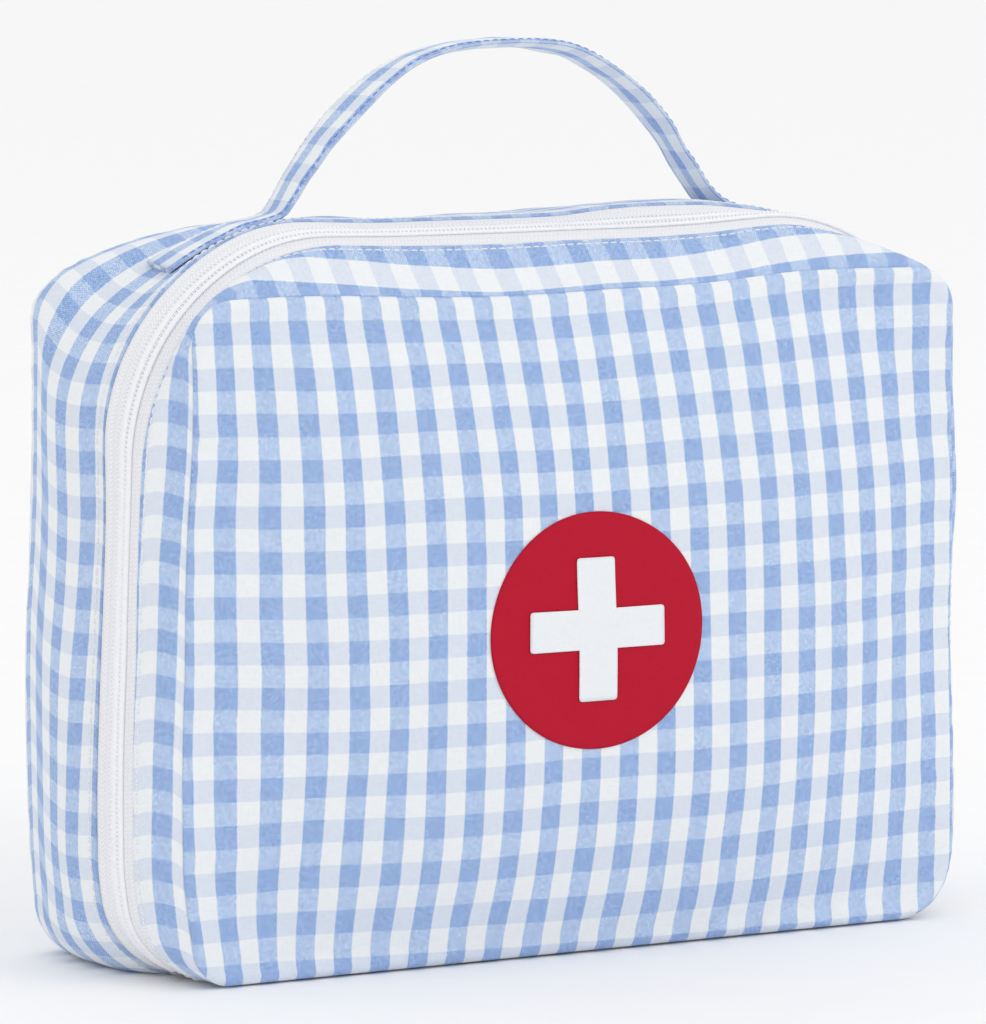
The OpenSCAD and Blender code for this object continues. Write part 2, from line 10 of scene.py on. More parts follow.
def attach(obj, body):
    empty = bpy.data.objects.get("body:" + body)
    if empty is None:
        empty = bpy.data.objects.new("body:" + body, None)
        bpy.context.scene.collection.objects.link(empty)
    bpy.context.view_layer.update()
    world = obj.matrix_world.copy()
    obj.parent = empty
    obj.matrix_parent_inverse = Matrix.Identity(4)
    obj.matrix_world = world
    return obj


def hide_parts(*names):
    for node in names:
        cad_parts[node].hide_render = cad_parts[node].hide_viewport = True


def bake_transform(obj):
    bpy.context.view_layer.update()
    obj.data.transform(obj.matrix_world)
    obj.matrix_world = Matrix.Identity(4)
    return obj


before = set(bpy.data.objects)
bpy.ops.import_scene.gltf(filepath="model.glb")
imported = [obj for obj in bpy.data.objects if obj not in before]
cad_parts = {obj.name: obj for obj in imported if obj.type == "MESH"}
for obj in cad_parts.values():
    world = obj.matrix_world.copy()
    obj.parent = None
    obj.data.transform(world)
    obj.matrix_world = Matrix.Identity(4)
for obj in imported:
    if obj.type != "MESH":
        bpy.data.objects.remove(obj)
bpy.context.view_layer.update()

mm = 0.001
seamY = -28.775  # the front seam's depth in the row frame
columnPitch = 10  # one repeat of the gingham across its stripes
rowPitch = 10.65  # one repeat along them
print("frame loaded")

# the case's outline over the depth behind the front seam
caseShape = {
    "depths": [0, 2.2, 5.45, 9, 15.25, 21.5, 25, 32.25, 43, 55.7, 60.3, 64.5],
    "half": [103.3, 105, 107.5, 110.3, 111.95, 113.9, 115.2, 116.75, 117.25, 115.6, 114.4, 113],
    "top": [161.6, 164.3, 168.3, 172.6, 175.35, 178.1, 178, 177.7, 177.1, 176.0, 175.6, 175.1],
    "shift": [2.7, 2.2, 1.6, 0.8, 0.8, 0.6, 0.4, 0, 0, 0, 0, 0],
    "cornerWide": [11, 20.8, 35.2, 51, 51, 51, 59, 70.2, 74.4, 60, 60, 60],
    "cornerHigh": [11, 20.8, 35.2, 51, 51, 51, 51, 48.8, 40.2, 22, 22, 22],
    "lowR": [14, 15, 16.5, 18, 20, 20, 18, 15, 13, 12, 12, 12],
    "baseHalf": 92,
    "lidLift": 0.6,
    "lidEnds": (19.2, 21.4),
    "zipMid": 15.25,
}
zipMid = caseShape["zipMid"]


# noise and curves
def lattice(x, y, z, seed):
    h = (x * 374761393 + y * 668265263 + z * 1442695041 + seed * 1274126177) & 0xFFFFFFFF
    h = ((h ^ (h >> 13)) * 1103515245) & 0xFFFFFFFF
    h = ((h ^ (h >> 15)) * 668265263) & 0xFFFFFFFF
    return ((h >> 8) & 0xFFFF) / 32767.5 - 1


def ripple(x, y, z=0.0, seed=1):
    # smooth noise from -1 to 1 with a wavelength of about two units
    x, y, z = np.broadcast_arrays(np.asarray(x, float), np.asarray(y, float), np.asarray(z, float))
    cell = [np.floor(v).astype(np.int64) for v in (x, y, z)]
    part = [v - c for v, c in zip((x, y, z), cell)]
    ease = [p * p * p * (p * (p * 6 - 15) + 10) for p in part]
    total = np.zeros(x.shape)
    for dx in (0, 1):
        for dy in (0, 1):
            for dz in (0, 1):
                share = (ease[0] if dx else 1 - ease[0]) * (ease[1] if dy else 1 - ease[1])
                share = share * (ease[2] if dz else 1 - ease[2])
                total += share * lattice(cell[0] + dx, cell[1] + dy, cell[2] + dz, seed)
    return total


def ramp(value, low, high):
    t = np.clip((np.asarray(value, float) - low) / (high - low), 0, 1)
    return t * t * (3 - 2 * t)


def through(knots, values, x, calm=False):
    # smooth curve through the given points; a calm one never swings past them
    knots, values = np.asarray(knots, float), np.asarray(values, float)
    x = np.clip(np.asarray(x, float), knots[0], knots[-1])
    slopes = np.gradient(values, knots)
    if calm:
        step = np.diff(values) / np.diff(knots)
        product = step[1:] * step[:-1]
        slopes[1:-1] = np.where(product > 0, 2 * product / np.where(product > 0, step[1:] + step[:-1], 1), 0)
    i = np.clip(np.searchsorted(knots, x) - 1, 0, len(knots) - 2)
    h = knots[i + 1] - knots[i]
    t = (x - knots[i]) / h
    return (values[i] * (1 + 2 * t) * (1 - t) ** 2 + slopes[i] * h * t * (1 - t) ** 2
            + values[i + 1] * t * t * (3 - 2 * t) + slopes[i + 1] * h * t * t * (t - 1))


def smoothLine(points, step):
    # points about step apart on a smooth curve through the given ones
    points = np.asarray(points, float)
    run = np.concatenate([[0], np.cumsum(np.linalg.norm(np.diff(points, axis=0), axis=1))])
    at = np.linspace(0, run[-1], max(3, int(math.ceil(run[-1] / step)) + 1))
    at = np.unique(np.concatenate([at, run]))
    return np.stack([through(run, points[:, k], at) for k in range(points.shape[1])], axis=1)


def runOf(points):
    return np.concatenate([[0], np.cumsum(np.linalg.norm(np.diff(points, axis=0), axis=1))])


# the hoop round the case
hoopCounts = {"low": 30, "lowFlat": 12, "lowRound": 40, "side": 96, "corner": 56, "top": 120}


def outline(name, depth):
    return float(through(caseShape["depths"], caseShape[name], depth, True))


def bottomAt(depth):
    return caseShape["lidLift"] * (1 - float(ramp(depth, *caseShape["lidEnds"])))


def arcPoints(cx, cz, wide, high, start, end, count):
    a = np.radians(np.linspace(start, end, count + 1))
    return np.stack([cx + wide * np.cos(a), cz + high * np.sin(a)], axis=1)


def linePoints(p, q, count):
    t = np.linspace(0, 1, count + 1)[:, None]
    return np.asarray(p) * (1 - t) + np.asarray(q) * t


def lowCorner(edge, bottom, radius, side):
    # flat from the base's edge, then round up into the side
    base = caseShape["baseHalf"]
    radius = min(radius, edge - base)
    flat = linePoints((base, bottom), (edge - radius, bottom), hoopCounts["lowFlat"])
    bend = arcPoints(edge - radius, bottom + radius, radius, radius, -90, 0, hoopCounts["lowRound"])
    line = np.concatenate([flat, bend])
    run = runOf(line)
    at = np.linspace(0, run[-1], hoopCounts["low"] + 1)
    return np.stack([side * np.interp(at, run, line[:, 0]), np.interp(at, run, line[:, 1])], axis=1)


def hoop(depth, inset=0.0, closed=False):
    # from the lower left over the top to the lower right, as x and z
    half, top = outline("half", depth) - inset, outline("top", depth) - inset
    left, right = half - outline("shift", depth), half + outline("shift", depth)
    low, lowR = bottomAt(depth) + max(inset, 0.0), outline("lowR", depth) - inset
    wide, tall = outline("cornerWide", depth) - inset, outline("cornerHigh", depth) - inset
    lowLeft, lowRight = lowCorner(left, low, lowR, -1), lowCorner(right, low, lowR, 1)[::-1]
    topLeft = arcPoints(-left + wide, top - tall, wide, tall, 180, 90, hoopCounts["corner"])
    topRight = arcPoints(right - wide, top - tall, wide, tall, 90, 0, hoopCounts["corner"])
    parts = [lowLeft, linePoints(lowLeft[-1], topLeft[0], hoopCounts["side"])[1:-1], topLeft,
             linePoints(topLeft[-1], topRight[0], hoopCounts["top"])[1:-1], topRight,
             linePoints(topRight[-1], lowRight[0], hoopCounts["side"])[1:-1], lowRight]
    if closed:
        parts.append(linePoints(lowRight[-1], lowLeft[0], hoopCounts["top"])[1:-1])
    return np.concatenate(parts)


def roofAt(x, depth):
    # height of the case's top at a distance x from its middle
    wide, tall = outline("cornerWide", depth), outline("cornerHigh", depth)
    across = np.clip((np.abs(x) - outline("half", depth) + wide) / wide, 0, 0.97)
    return outline("top", depth) - tall + tall * np.sqrt(1 - across ** 2)


zipLine = hoop(zipMid)
zipRun = runOf(zipLine)  # distance along the zip line for each column


# how the soft case slumps: every fabric piece follows the same field
slumpShape = {
    "size": 0.7, "wave": 34,
    # heights over which the base lets the cloth go, and where the zip's right side is held
    "foot": (1, 18), "heldSide": (96, 108), "heldDepth": (6, 14),
    "rear": (24, 46),
    "sideBulge": 3.6, "bulgeAt": 40, "rearBulge": 2.3, "rearBulgeAt": 64,
    "bulgeWide": 60, "bulgeHigh": (2, 30), "bulgeSide": (70, 104),
    "topSag": 2.0, "sagAt": -16, "sagWide": 42, "sagHigh": (110, 165), "sagDepth": (2, 16),
    "lift": 1.0, "liftAt": 72, "liftWide": 36, "liftHigh": (120, 160), "liftDepth": (14, 21),
    # height of the roof behind the zip, from left to right
    "rearRoof": [(-117, 0), (-80, -0.4), (-40, -0.9), (5, -0.7), (20, 0.2), (32, 0.5), (45, 0.3),
                 (60, -1.3), (72, -2.9), (90, -3.2), (104, -2.2), (118, 0)],
    "roofHigh": (130, 165), "roofDepth": (13.5, 21.5),
}


def slump(points):
    form = slumpShape
    p = np.asarray(points, float)
    x, y, z = p[..., 0], p[..., 1], p[..., 2]
    wave = form["wave"]
    atZip = 1 - ramp(np.abs(y - zipMid), *form["heldDepth"])
    hold = ramp(z, *form["foot"]) * (1 - ramp(x, *form["heldSide"]) * atZip)
    moved = p.copy()
    for axis, seed in ((0, 11), (1, 12), (2, 13)):
        moved[..., axis] += form["size"] * hold * ripple(x / wave, y / wave, z / wave, seed)
    rear = ramp(y, *form["rear"])
    for size, high, share in ((form["sideBulge"], form["bulgeAt"], 1 - rear),
                              (form["rearBulge"], form["rearBulgeAt"], rear)):
        bulge = np.exp(-((z - high) / form["bulgeWide"]) ** 2) * ramp(z, *form["bulgeHigh"])
        moved[..., 0] -= size * share * bulge * ramp(-x, *form["bulgeSide"])
    sag = np.exp(-((x - form["sagAt"]) / form["sagWide"]) ** 2)
    moved[..., 2] -= form["topSag"] * sag * ramp(z, *form["sagHigh"]) * (1 - ramp(y, *form["sagDepth"]))
    # the front's top edge stands up a little at the right, and the roof behind the zip dips there
    rise = np.exp(-((x - form["liftAt"]) / form["liftWide"]) ** 2)
    moved[..., 2] += form["lift"] * rise * ramp(z, *form["liftHigh"]) * (1 - ramp(y, *form["liftDepth"]))
    roof = through(*zip(*form["rearRoof"]), x, True)
    moved[..., 2] += roof * ramp(z, *form["roofHigh"]) * ramp(y, *form["roofDepth"])
    return moved


# mesh making
def unit(vectors):
    return vectors / np.maximum(np.linalg.norm(vectors, axis=-1, keepdims=True), 1e-9)


def placed(name, data):
    made = bpy.data.objects.new(name, data)
    bpy.context.scene.collection.objects.link(made)
    return made


def gridQuads(rows, cols, closed, offset=0):
    r = np.arange(rows - 1)[:, None]
    c = np.arange(cols if closed else cols - 1)[None, :]
    a = offset + r * cols + c
    b = offset + r * cols + (c + 1) % cols
    return np.stack([a, b, b + cols, a + cols], axis=-1).reshape(-1, 4)


def rimQuads(ids, under):
    return np.stack([ids[1:], ids[:-1], under[:-1], under[1:]], axis=-1)


def normalsOf(points, closed):
    if closed:
        wrapped = np.concatenate([points[:, -1:], points, points[:, :1]], axis=1)
        along = (wrapped[:, 2:] - wrapped[:, :-2]) / 2
    else:
        along = np.gradient(points, axis=1)
    return unit(np.cross(along, np.gradient(points, axis=0)))


def meshPiece(name, points, faces, finish, uv=None):
    # points in mm behind the front seam; faces are turned outward if they aren't
    points = (np.asarray(points, float) + [0, seamY, 0]) * mm
    points[:, 2] = np.maximum(points[:, 2], 0)  # nothing goes below the floor
    volume = 0.0
    for face in faces:
        face = np.asarray(face)
        for k in range(1, face.shape[1] - 1):
            a, b, c = points[face[:, 0]], points[face[:, k]], points[face[:, k + 1]]
            volume += float((a * np.cross(b, c)).sum())
    lists = []
    for face in faces:
        face = np.asarray(face)
        lists += (face[:, ::-1] if volume < 0 else face).tolist()
    mesh = bpy.data.meshes.new(name)
    mesh.from_pydata(points.tolist(), [], lists)
    if uv is not None:
        layer = mesh.uv_layers.new(name="cloth")
        corner = np.zeros(len(mesh.loops), np.int32)
        mesh.loops.foreach_get("vertex_index", corner)
        layer.data.foreach_set("uv", np.asarray(uv, float)[corner].ravel())
    mesh.polygons.foreach_set("use_smooth", np.ones(len(mesh.polygons), bool))
    mesh.materials.append(finish)
    mesh.update()
    return placed(name, mesh)


def clothPiece(name, outer, uv, thick, finish, closed=False, side=1):
    # a closed skin: the given face, and another thick mm below it
    rows, cols = outer.shape[:2]
    under = outer - side * thick * normalsOf(outer, closed)
    count = rows * cols
    points = np.concatenate([outer.reshape(-1, 3), under.reshape(-1, 3)])
    ids = np.arange(count).reshape(rows, cols)
    ring = np.append(ids[0], ids[0, 0]) if closed else ids[0]
    last = np.append(ids[-1], ids[-1, 0]) if closed else ids[-1]
    faces = [gridQuads(rows, cols, closed), gridQuads(rows, cols, closed, count)[:, ::-1],
             rimQuads(ring, ring + count), rimQuads(last, last + count)[:, ::-1]]
    if not closed:
        faces += [rimQuads(ids[:, 0], ids[:, 0] + count)[:, ::-1], rimQuads(ids[:, -1], ids[:, -1] + count)]
    flat = np.asarray(uv, float).reshape(-1, 2)
    return meshPiece(name, points, faces, finish, np.concatenate([flat, flat]))


def panelPiece(name, outer, uv, thick, finish, side=1):
    # as clothPiece, for rings that close on a middle point
    rows, cols = outer.shape[:2]
    normals = normalsOf(outer, True)
    under = outer - side * thick * normals
    middle = outer[-1].mean(0)
    lower = middle - side * thick * np.array([0, np.sign(normals[-1, :, 1].mean()), 0])
    count = rows * cols
    points = np.concatenate([outer.reshape(-1, 3), under.reshape(-1, 3), [middle, lower]])
    ids = np.arange(cols)
    ring = np.append(ids, 0)
    last = (rows - 1) * cols + ids
    after = np.roll(last, -1)
    fan = np.stack([last, after, np.full(cols, 2 * count)], axis=-1)
    lowFan = np.stack([after + count, last + count, np.full(cols, 2 * count + 1)], axis=-1)
    faces = [gridQuads(rows, cols, True), gridQuads(rows, cols, True, count)[:, ::-1],
             rimQuads(ring, ring + count), fan, lowFan]
    flat = np.asarray(uv, float).reshape(-1, 2)
    centre = np.asarray(uv, float)[-1].mean(0)
    return meshPiece(name, points, faces, finish, np.concatenate([flat, flat, [centre, centre]]))


def tubes(lines, radii, sides, flat, up):
    # points and faces of one tube for each line of points; radii has one value for each point
    lines, radii = np.asarray(lines, float), np.asarray(radii, float)
    number, steps = lines.shape[:2]
    along = unit(np.gradient(lines, axis=1))
    wide = unit(np.cross(along, np.broadcast_to(np.asarray(up, float), along.shape)))
    high = np.cross(wide, along)
    a = 2 * math.pi * np.arange(sides) / sides
    around = (wide[:, :, None] * np.cos(a)[None, None, :, None]
              + flat * high[:, :, None] * np.sin(a)[None, None, :, None])
    points = lines[:, :, None] + around * radii[None, :, None, None]
    each = steps * sides
    quads = gridQuads(steps, sides, True)
    start = np.arange(number)[:, None, None] * each
    faces = [(quads[None] + start).reshape(-1, 4)]
    caps = np.stack([np.arange(sides)[::-1], (steps - 1) * sides + np.arange(sides)])
    faces.append((caps[None] + start).reshape(-1, sides))
    return points.reshape(-1, 3), faces


def joinedPiece(name, parts, finish):
    points, faces = [], []
    for found, groups in parts:
        faces += [group + sum(len(p) for p in points) for group in groups]
        points.append(found)
    return meshPiece(name, np.concatenate(points), faces, finish)


# materials
class Wire:
    # a node's output that Python arithmetic works on
    def __init__(self, finish, socket):
        self.finish, self.socket = finish, socket

    def maths(self, operation, *values):
        return self.finish.node("ShaderNodeMath", {"operation": operation}, dict(enumerate(values)))

    def __add__(self, other):
        return self.maths("ADD", self, other)

    __radd__ = __add__

    def __sub__(self, other):
        return self.maths("SUBTRACT", self, other)

    def __rsub__(self, other):
        return self.maths("SUBTRACT", other, self)

    def __mul__(self, other):
        return self.maths("MULTIPLY", self, other)

    __rmul__ = __mul__

    def floor(self):
        return self.maths("FLOOR", self)

    def wrap(self, size):
        return self.maths("PINGPONG", self, size)

    def band(self, low, high):
        # 0 below low, 1 above high, smooth between
        return self.finish.node("ShaderNodeMapRange", {"interpolation_type": "SMOOTHSTEP"},
                                {0: self, 1: low, 2: high})


class Finish:
    # one material, with its shader's sockets set by name
    def __init__(self, name, **values):
        self.material = bpy.data.materials.new(name)
        self.material.use_nodes = True
        self.tree = self.material.node_tree
        self.shader = self.tree.nodes["Principled BSDF"]
        for key, value in values.items():
            self.shader.inputs[key.replace("_", " ")].default_value = value

    def node(self, kind, settings=None, sockets=None, output=0):
        made = self.tree.nodes.new(kind)
        for key, value in (settings or {}).items():
            setattr(made, key, value)
        for key, value in (sockets or {}).items():
            self.feed(made.inputs[key], value)
        return Wire(self, made.outputs[output])

    def feed(self, socket, value):
        if isinstance(value, Wire):
            self.tree.links.new(value.socket, socket)
        else:
            socket.default_value = value

    def mix(self, share, first, second):
        return self.node("ShaderNodeMix", {"data_type": "RGBA"}, {0: share, 6: first, 7: second}, 2)

    def cloth(self):
        # the fabric's own flat coordinates
        place = self.node("ShaderNodeUVMap", {"uv_map": "cloth"})
        split = self.node("ShaderNodeSeparateXYZ", None, {0: place})
        return split, Wire(self, split.socket.node.outputs[1])

    def join(self, x, y, z=0.0):
        return self.node("ShaderNodeCombineXYZ", None, {0: x, 1: y, 2: z})

    def noise(self, place, scale, detail=2.0):
        return self.node("ShaderNodeTexNoise", None, {"Vector": place, "Scale": scale, "Detail": detail})

    def surface(self):
        # place on the object itself
        return self.node("ShaderNodeTexCoord", None, None, 3)

    def speckle(self, x, y):
        # a random value for each pair of whole numbers
        return self.node("ShaderNodeTexWhiteNoise", {"noise_dimensions": "2D"}, {"Vector": self.join(x, y)})

    def yarns(self, x, y, threads):
        return (x * threads).wrap(0.5) + (y * threads).wrap(0.5)

    def tone(self, colour, value, saturation=1.0):
        return self.node("ShaderNodeHueSaturation", None,
                         {"Color": colour, "Value": value, "Saturation": saturation})

    def bump(self, height, depth, strength, under=None):
        sockets = {"Height": height, "Distance": depth, "Strength": strength}
        if under is not None:
            sockets["Normal"] = under
        return self.node("ShaderNodeBump", None, sockets)

    def put(self, **links):
        for key, value in links.items():
            self.feed(self.shader.inputs[key.replace("_", " ")], value)
        return self.material


def paint(red, green, blue):
    # screen colour as 0 to 255, turned to a shader colour
    return tuple((c / 255 / 12.92 if c <= 10 else ((c / 255 + 0.055) / 1.055) ** 2.4)
                 for c in (red, green, blue)) + (1.0,)


ginghamLook = {
    "white": paint(238, 241, 243), "weftOnly": paint(217, 225, 238), "warpOnly": paint(183, 205, 236),
    "both": paint(146, 176, 222), "topYarn": paint(104, 146, 214), "yarnShare": 0.3,
    "threads": 34, "edge": 0.012, "jitter": 0.012,
    # how far the stripes wander, in repeats, and how slowly
    "wander": 0.06, "wanderAcross": 0.35, "wanderAlong": 0.3,
    "value": 0.87, "saturation": 1.02,
    "slub": 0.1, "slubFine": 40.0, "slubLong": 3.0,
    "flecks": 24, "fleck": 0.03, "blueFleck": 0.17,
    "yarnDepth": 0.00008, "creases": 1.6, "creaseDepth": 0.0007,
}


def ginghamFinish(name):
    look = ginghamLook
    threads, flecks = look["threads"], look["flecks"]
    edge = 0.25 - look["edge"], 0.25 + look["edge"]
    cloth = Finish(name, Roughness=0.86, Sheen_Weight=0.12, Sheen_Roughness=0.5, Specular_IOR_Level=0.25)
    u, v = cloth.cloth()
    # the yarns wander a little, so that no stripe is ruled straight
    first, second = look["wanderAcross"], look["wanderAlong"]
    across = u + (cloth.noise(cloth.join(u * first, v * first), 1.0) - 0.5) * look["wander"]
    along = v + (cloth.noise(cloth.join(u * second, v * second, 7.0), 1.0) - 0.5) * look["wander"]
    pick, end = (along * threads).floor(), (across * threads).floor()
    warp = (across + 0.25 + (cloth.speckle(pick, 0.0) - 0.5) * look["jitter"]).wrap(0.5).band(*edge)
    weft = (along + 0.25).wrap(0.5).band(*edge)
    even = cloth.mix(weft, cloth.mix(warp, look["white"], look["warpOnly"]),
                     cloth.mix(warp, look["weftOnly"], look["both"]))
    # plain weave: which yarn lies on top at each crossing
    over = ((pick + end) * 0.5).wrap(0.5) * 2.0
    top = cloth.mix(over, cloth.mix(weft, look["white"], look["weftOnly"]),
                    cloth.mix(warp, look["white"], look["topYarn"]))
    speck = cloth.speckle(end, pick)
    woven = cloth.mix(speck * look["yarnShare"] * 2.0, even, top)
    # thick places in the yarns, and flecks that show most in the blue
    fine, long = look["slubFine"], look["slubLong"]
    slub = (cloth.noise(cloth.join(u * fine, v * long), 1.0, 3.0)
            + cloth.noise(cloth.join(u * long, v * fine), 1.0, 3.0))
    fleck = cloth.speckle((across * flecks).floor(), (along * flecks).floor())
    value = (look["value"] + slub * look["slub"] + fleck * look["fleck"]
             + (fleck - 0.5) * warp * look["blueFleck"])
    # yarn relief with small handling creases
    relief = cloth.bump(cloth.yarns(across, along, threads) * 0.6 + speck * 0.3, look["yarnDepth"], 0.6)
    crease = cloth.noise(cloth.join(u * look["creases"], v * look["creases"]), 1.0, 4.0)
    return cloth.put(Base_Color=cloth.tone(woven, value, look["saturation"]),
                     Normal=cloth.bump(crease, look["creaseDepth"], 0.35, relief),
                     Roughness=0.82 + speck * 0.1)


plainLook = {"value": 0.97, "speck": 0.04, "creases": 1.3, "creaseDepth": 0.0008}


def plainClothFinish(name, colour, threads, roughness=0.85, yarnDepth=0.00008):
    look = plainLook
    cloth = Finish(name, Roughness=roughness, Sheen_Weight=0.1, Sheen_Roughness=0.5, Specular_IOR_Level=0.25)
    u, v = cloth.cloth()
    speck = cloth.speckle((u * threads).floor(), (v * threads).floor())
    crease = cloth.noise(cloth.join(u * look["creases"], v * look["creases"]), 1.0, 4.0)
    relief = cloth.bump(cloth.yarns(u, v, threads), yarnDepth, 0.7)
    return cloth.put(Base_Color=cloth.tone(colour, look["value"] + speck * look["speck"]),
                     Normal=cloth.bump(crease, look["creaseDepth"], 0.4, relief),
                     Roughness=roughness - 0.04 + speck * 0.08)


# low and high colours: the tape is painted darker in its rib grooves and lighter on the rib tops (painted
# shade and painted highlight), and also varies at random with the lumps
tapeLook = {"columns": 5.2, "ribs": 9.5, "slant": 2.0, "lumps": 9.0, "depth": 0.0003,
            "low": paint(228, 229, 234), "high": paint(247, 247, 250)}


def zipTapeFinish(name):
    # herringbone: slanting ribs that turn back at each column
    look = tapeLook
    tape = Finish(name, Roughness=0.8, Sheen_Weight=0.1, Specular_IOR_Level=0.3)
    u, v = tape.cloth()
    column = (u * look["columns"]).wrap(0.5)
    rib = (v * look["ribs"] + column * look["slant"]).wrap(0.5)
    height = rib.band(0.05, 0.4) * column.band(0.0, 0.08)
    lump = tape.noise(tape.join(u * look["lumps"], v * look["lumps"]), 1.0, 3.0)
    # colour: painted shade in the rib grooves and painted highlight on the rib tops, with uneven tone from
    # the lumps
    return tape.put(Base_Color=tape.mix(height * 0.6 + lump * 0.4, look["low"], look["high"]),
                    Normal=tape.bump(height * 0.5 + lump, look["depth"], 0.6),
                    Roughness=0.72 + rib * 0.2)


nylonLook = {
    "scale": 900.0, "detail": 2.0, "low": paint(236, 237, 242), "high": paint(250, 250, 252),
    "rough": 0.3, "roughMore": 0.25, "depth": 0.00004, "strength": 0.4,
}
enamelLook = {
    "scale": 420.0, "detail": 5.0, "low": paint(228, 229, 234), "high": paint(242, 243, 246),
    "patches": (0.4, 0.7), "rough": 0.22, "roughMore": 0.25, "depth": 0.00005, "strength": 0.3,
}
metalLook = {
    "scale": 700.0, "detail": 4.0, "low": paint(168, 170, 174), "high": paint(208, 209, 212),
    "rough": 0.28, "roughMore": 0.22, "depth": 0.00003, "strength": 0.3,
}


def grainFinish(name, look, **values):
    # hard parts: a fine grain in colour, gloss and relief
    hard = Finish(name, **values)
    grain = hard.noise(hard.surface(), look["scale"], look["detail"])
    patch = grain.band(*look["patches"]) if "patches" in look else grain
    return hard.put(Base_Color=hard.mix(patch, look["low"], look["high"]),
                    Roughness=look["rough"] + grain * look["roughMore"],
                    Normal=hard.bump(grain, look["depth"], look["strength"]))


def threadFinish(name, low, high):
    thread = Finish(name, Roughness=0.6, Sheen_Weight=0.15)
    twist = thread.node("ShaderNodeTexWave", {"bands_direction": "DIAGONAL"},
                        {"Vector": thread.surface(), "Scale": 900.0, "Distortion": 1.0})
    # colour follows the twist's relief: painted shade in its grooves and painted highlight on its ridges
    return thread.put(Base_Color=thread.mix(twist, low, high), Roughness=0.5 + twist * 0.25,
                      Normal=thread.bump(twist, 0.00006, 0.6))


printLook = {"speck": 0.22, "weave": 0.1, "cover": 0.25, "patches": 1.2, "depth": 0.00006}


def printFinish(name, ink, thin):
    # print ink in the weave, a little thinner where yarns cross
    look = printLook
    film = Finish(name, Roughness=0.6, Specular_IOR_Level=0.2)
    u, v = film.cloth()
    threads = ginghamLook["threads"]
    weave = film.yarns(u, v, threads).band(0.25, 0.8)
    speck = film.speckle((u * threads).floor(), (v * threads).floor())
    cover = film.noise(film.join(u * look["patches"], v * look["patches"]), 1.0, 3.0)
    share = speck * look["speck"] + weave * look["weave"] + (cover - 0.5) * look["cover"]
    return film.put(Base_Color=film.mix(share, ink, thin), Roughness=0.52 + speck * 0.14,
                    Normal=film.bump(weave + speck * 0.4, look["depth"], 0.6))


gingham = ginghamFinish("paleGingham")
liningWhite = plainClothFinish("whiteLining", paint(234, 235, 238), 30.0)
bindingWhite = plainClothFinish("whiteBinding", paint(240, 240, 242), 14.0, 0.8, 0.0002)
zipTape = zipTapeFinish("zipTapeHerringbone")
zipNylon = grainFinish("zipNylon", nylonLook, Roughness=0.4, Coat_Weight=0.1)
# each thread's first colour is its painted shade in the twist grooves, the second its painted highlight on
# the ridges
whiteThread = threadFinish("whiteThread", paint(214, 219, 230), paint(250, 250, 252))
blueThread = threadFinish("blueThread", paint(96, 128, 200), paint(140, 170, 226))
sliderEnamel = grainFinish("sliderEnamel", enamelLook, Roughness=0.3, Coat_Weight=0.4, Coat_Roughness=0.15)
stopMetal = grainFinish("stopMetal", metalLook, Metallic=1.0, Roughness=0.35)
printRed = printFinish("printRed", paint(184, 2, 38), paint(194, 18, 60))
printWhite = printFinish("printWhite", paint(240, 243, 245), paint(222, 230, 238))
print("materials made")


def standsFor(piece, slotName, body, *nodes):
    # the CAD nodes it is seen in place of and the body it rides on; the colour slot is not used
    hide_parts(*nodes)
    if body:
        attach(piece, body)
    return piece


# front and back panels
panelShape = {
    "half": 103.3, "low": 0.6, "high": 161.6, "shift": 2.7, "crown": 14.0, "seam": 0.0, "front": 1,
    "crownPower": 2.2, "topPower": 3.3, "lowPower": 3.1, "roll": 1.3, "rollWide": 1.3, "rings": 72,
    "puckers": 0.5, "puckerReach": 9.0, "waves": 0.35,
    # gathers square to a seam: height, wavelengths along and away from it, and the noise's layer
    "gathers": [(1, 3.6, 22, 0), (0.5, 2.1, 14, 3)], "levelGathers": [(1, 4.2, 22, 0), (0.5, 2.4, 14, 3)],
    "allowance": (2.2, 0.7), "seamDrop": 0.4, "waveSize": (24, 30),
    "topFrom": 12, "lowFrom": 30,  # where the crown's own top and low powers begin, from the seams
    "stiffAt": (-2, 81), "stiffWide": 34, "stiff": 0.8,
    "columnRepeats": 20.66, "columnPhase": 0.47, "rowPhase": -0.23,
    # how far the stripes wander, in repeats, as powers of x without and with height, and for the rows
    "driftWide": 100, "driftMiddle": 80, "footBelow": 60, "headAbove": 110, "headTall": 50,
    "columnDrift": [-0.07, 0.026, 0.216, -0.081, -0.181, -0.17, 0.051, 0.15],
    "rowDrift": [-0.019, 0.07, 0.086, -0.606, -0.24, 0.104],
    # soft folds: start, end, half width, height (down if negative)
    "folds": [
        ((-74, 158), (-68, 104), 7.0, 0.8),
        ((-60, 158), (-58, 118), 5.0, -0.6),
        ((-90, 14), (-64, 34), 5.0, -0.6),
        ((94, 40), (74, 62), 5.0, -0.5),
        ((96, 22), (82, 30), 4.0, -0.5),
        ((32, 160), (40, 128), 6.0, 0.4),
    ],
}
backShape = dict(
    panelShape, half=113.0, low=0.0, high=175.1, shift=0.0, crown=8.0, seam=64.5, front=-1,
    topPower=2.2, lowPower=2.2, stiff=0.0, columnRepeats=22.6,
    folds=[((-60, 20), (-20, 120), 9.0, 0.6), ((40, 150), (70, 60), 9.0, -0.6)])


def midAndHalf(shape):
    return (shape["low"] + shape["high"]) / 2, (shape["high"] - shape["low"]) / 2


def foldHeight(x, z, folds):
    total = np.zeros(np.shape(x))
    for (x0, z0), (x1, z1), wide, high in folds:
        dx, dz = x1 - x0, z1 - z0
        t = np.clip(((x - x0) * dx + (z - z0) * dz) / (dx * dx + dz * dz), 0, 1)
        far = np.hypot(x - x0 - t * dx, z - z0 - t * dz)
        total += high * np.exp(-(far / wide) ** 2) * np.sin(math.pi * np.clip(t * 0.8 + 0.2, 0, 1)) ** 0.6
    return total


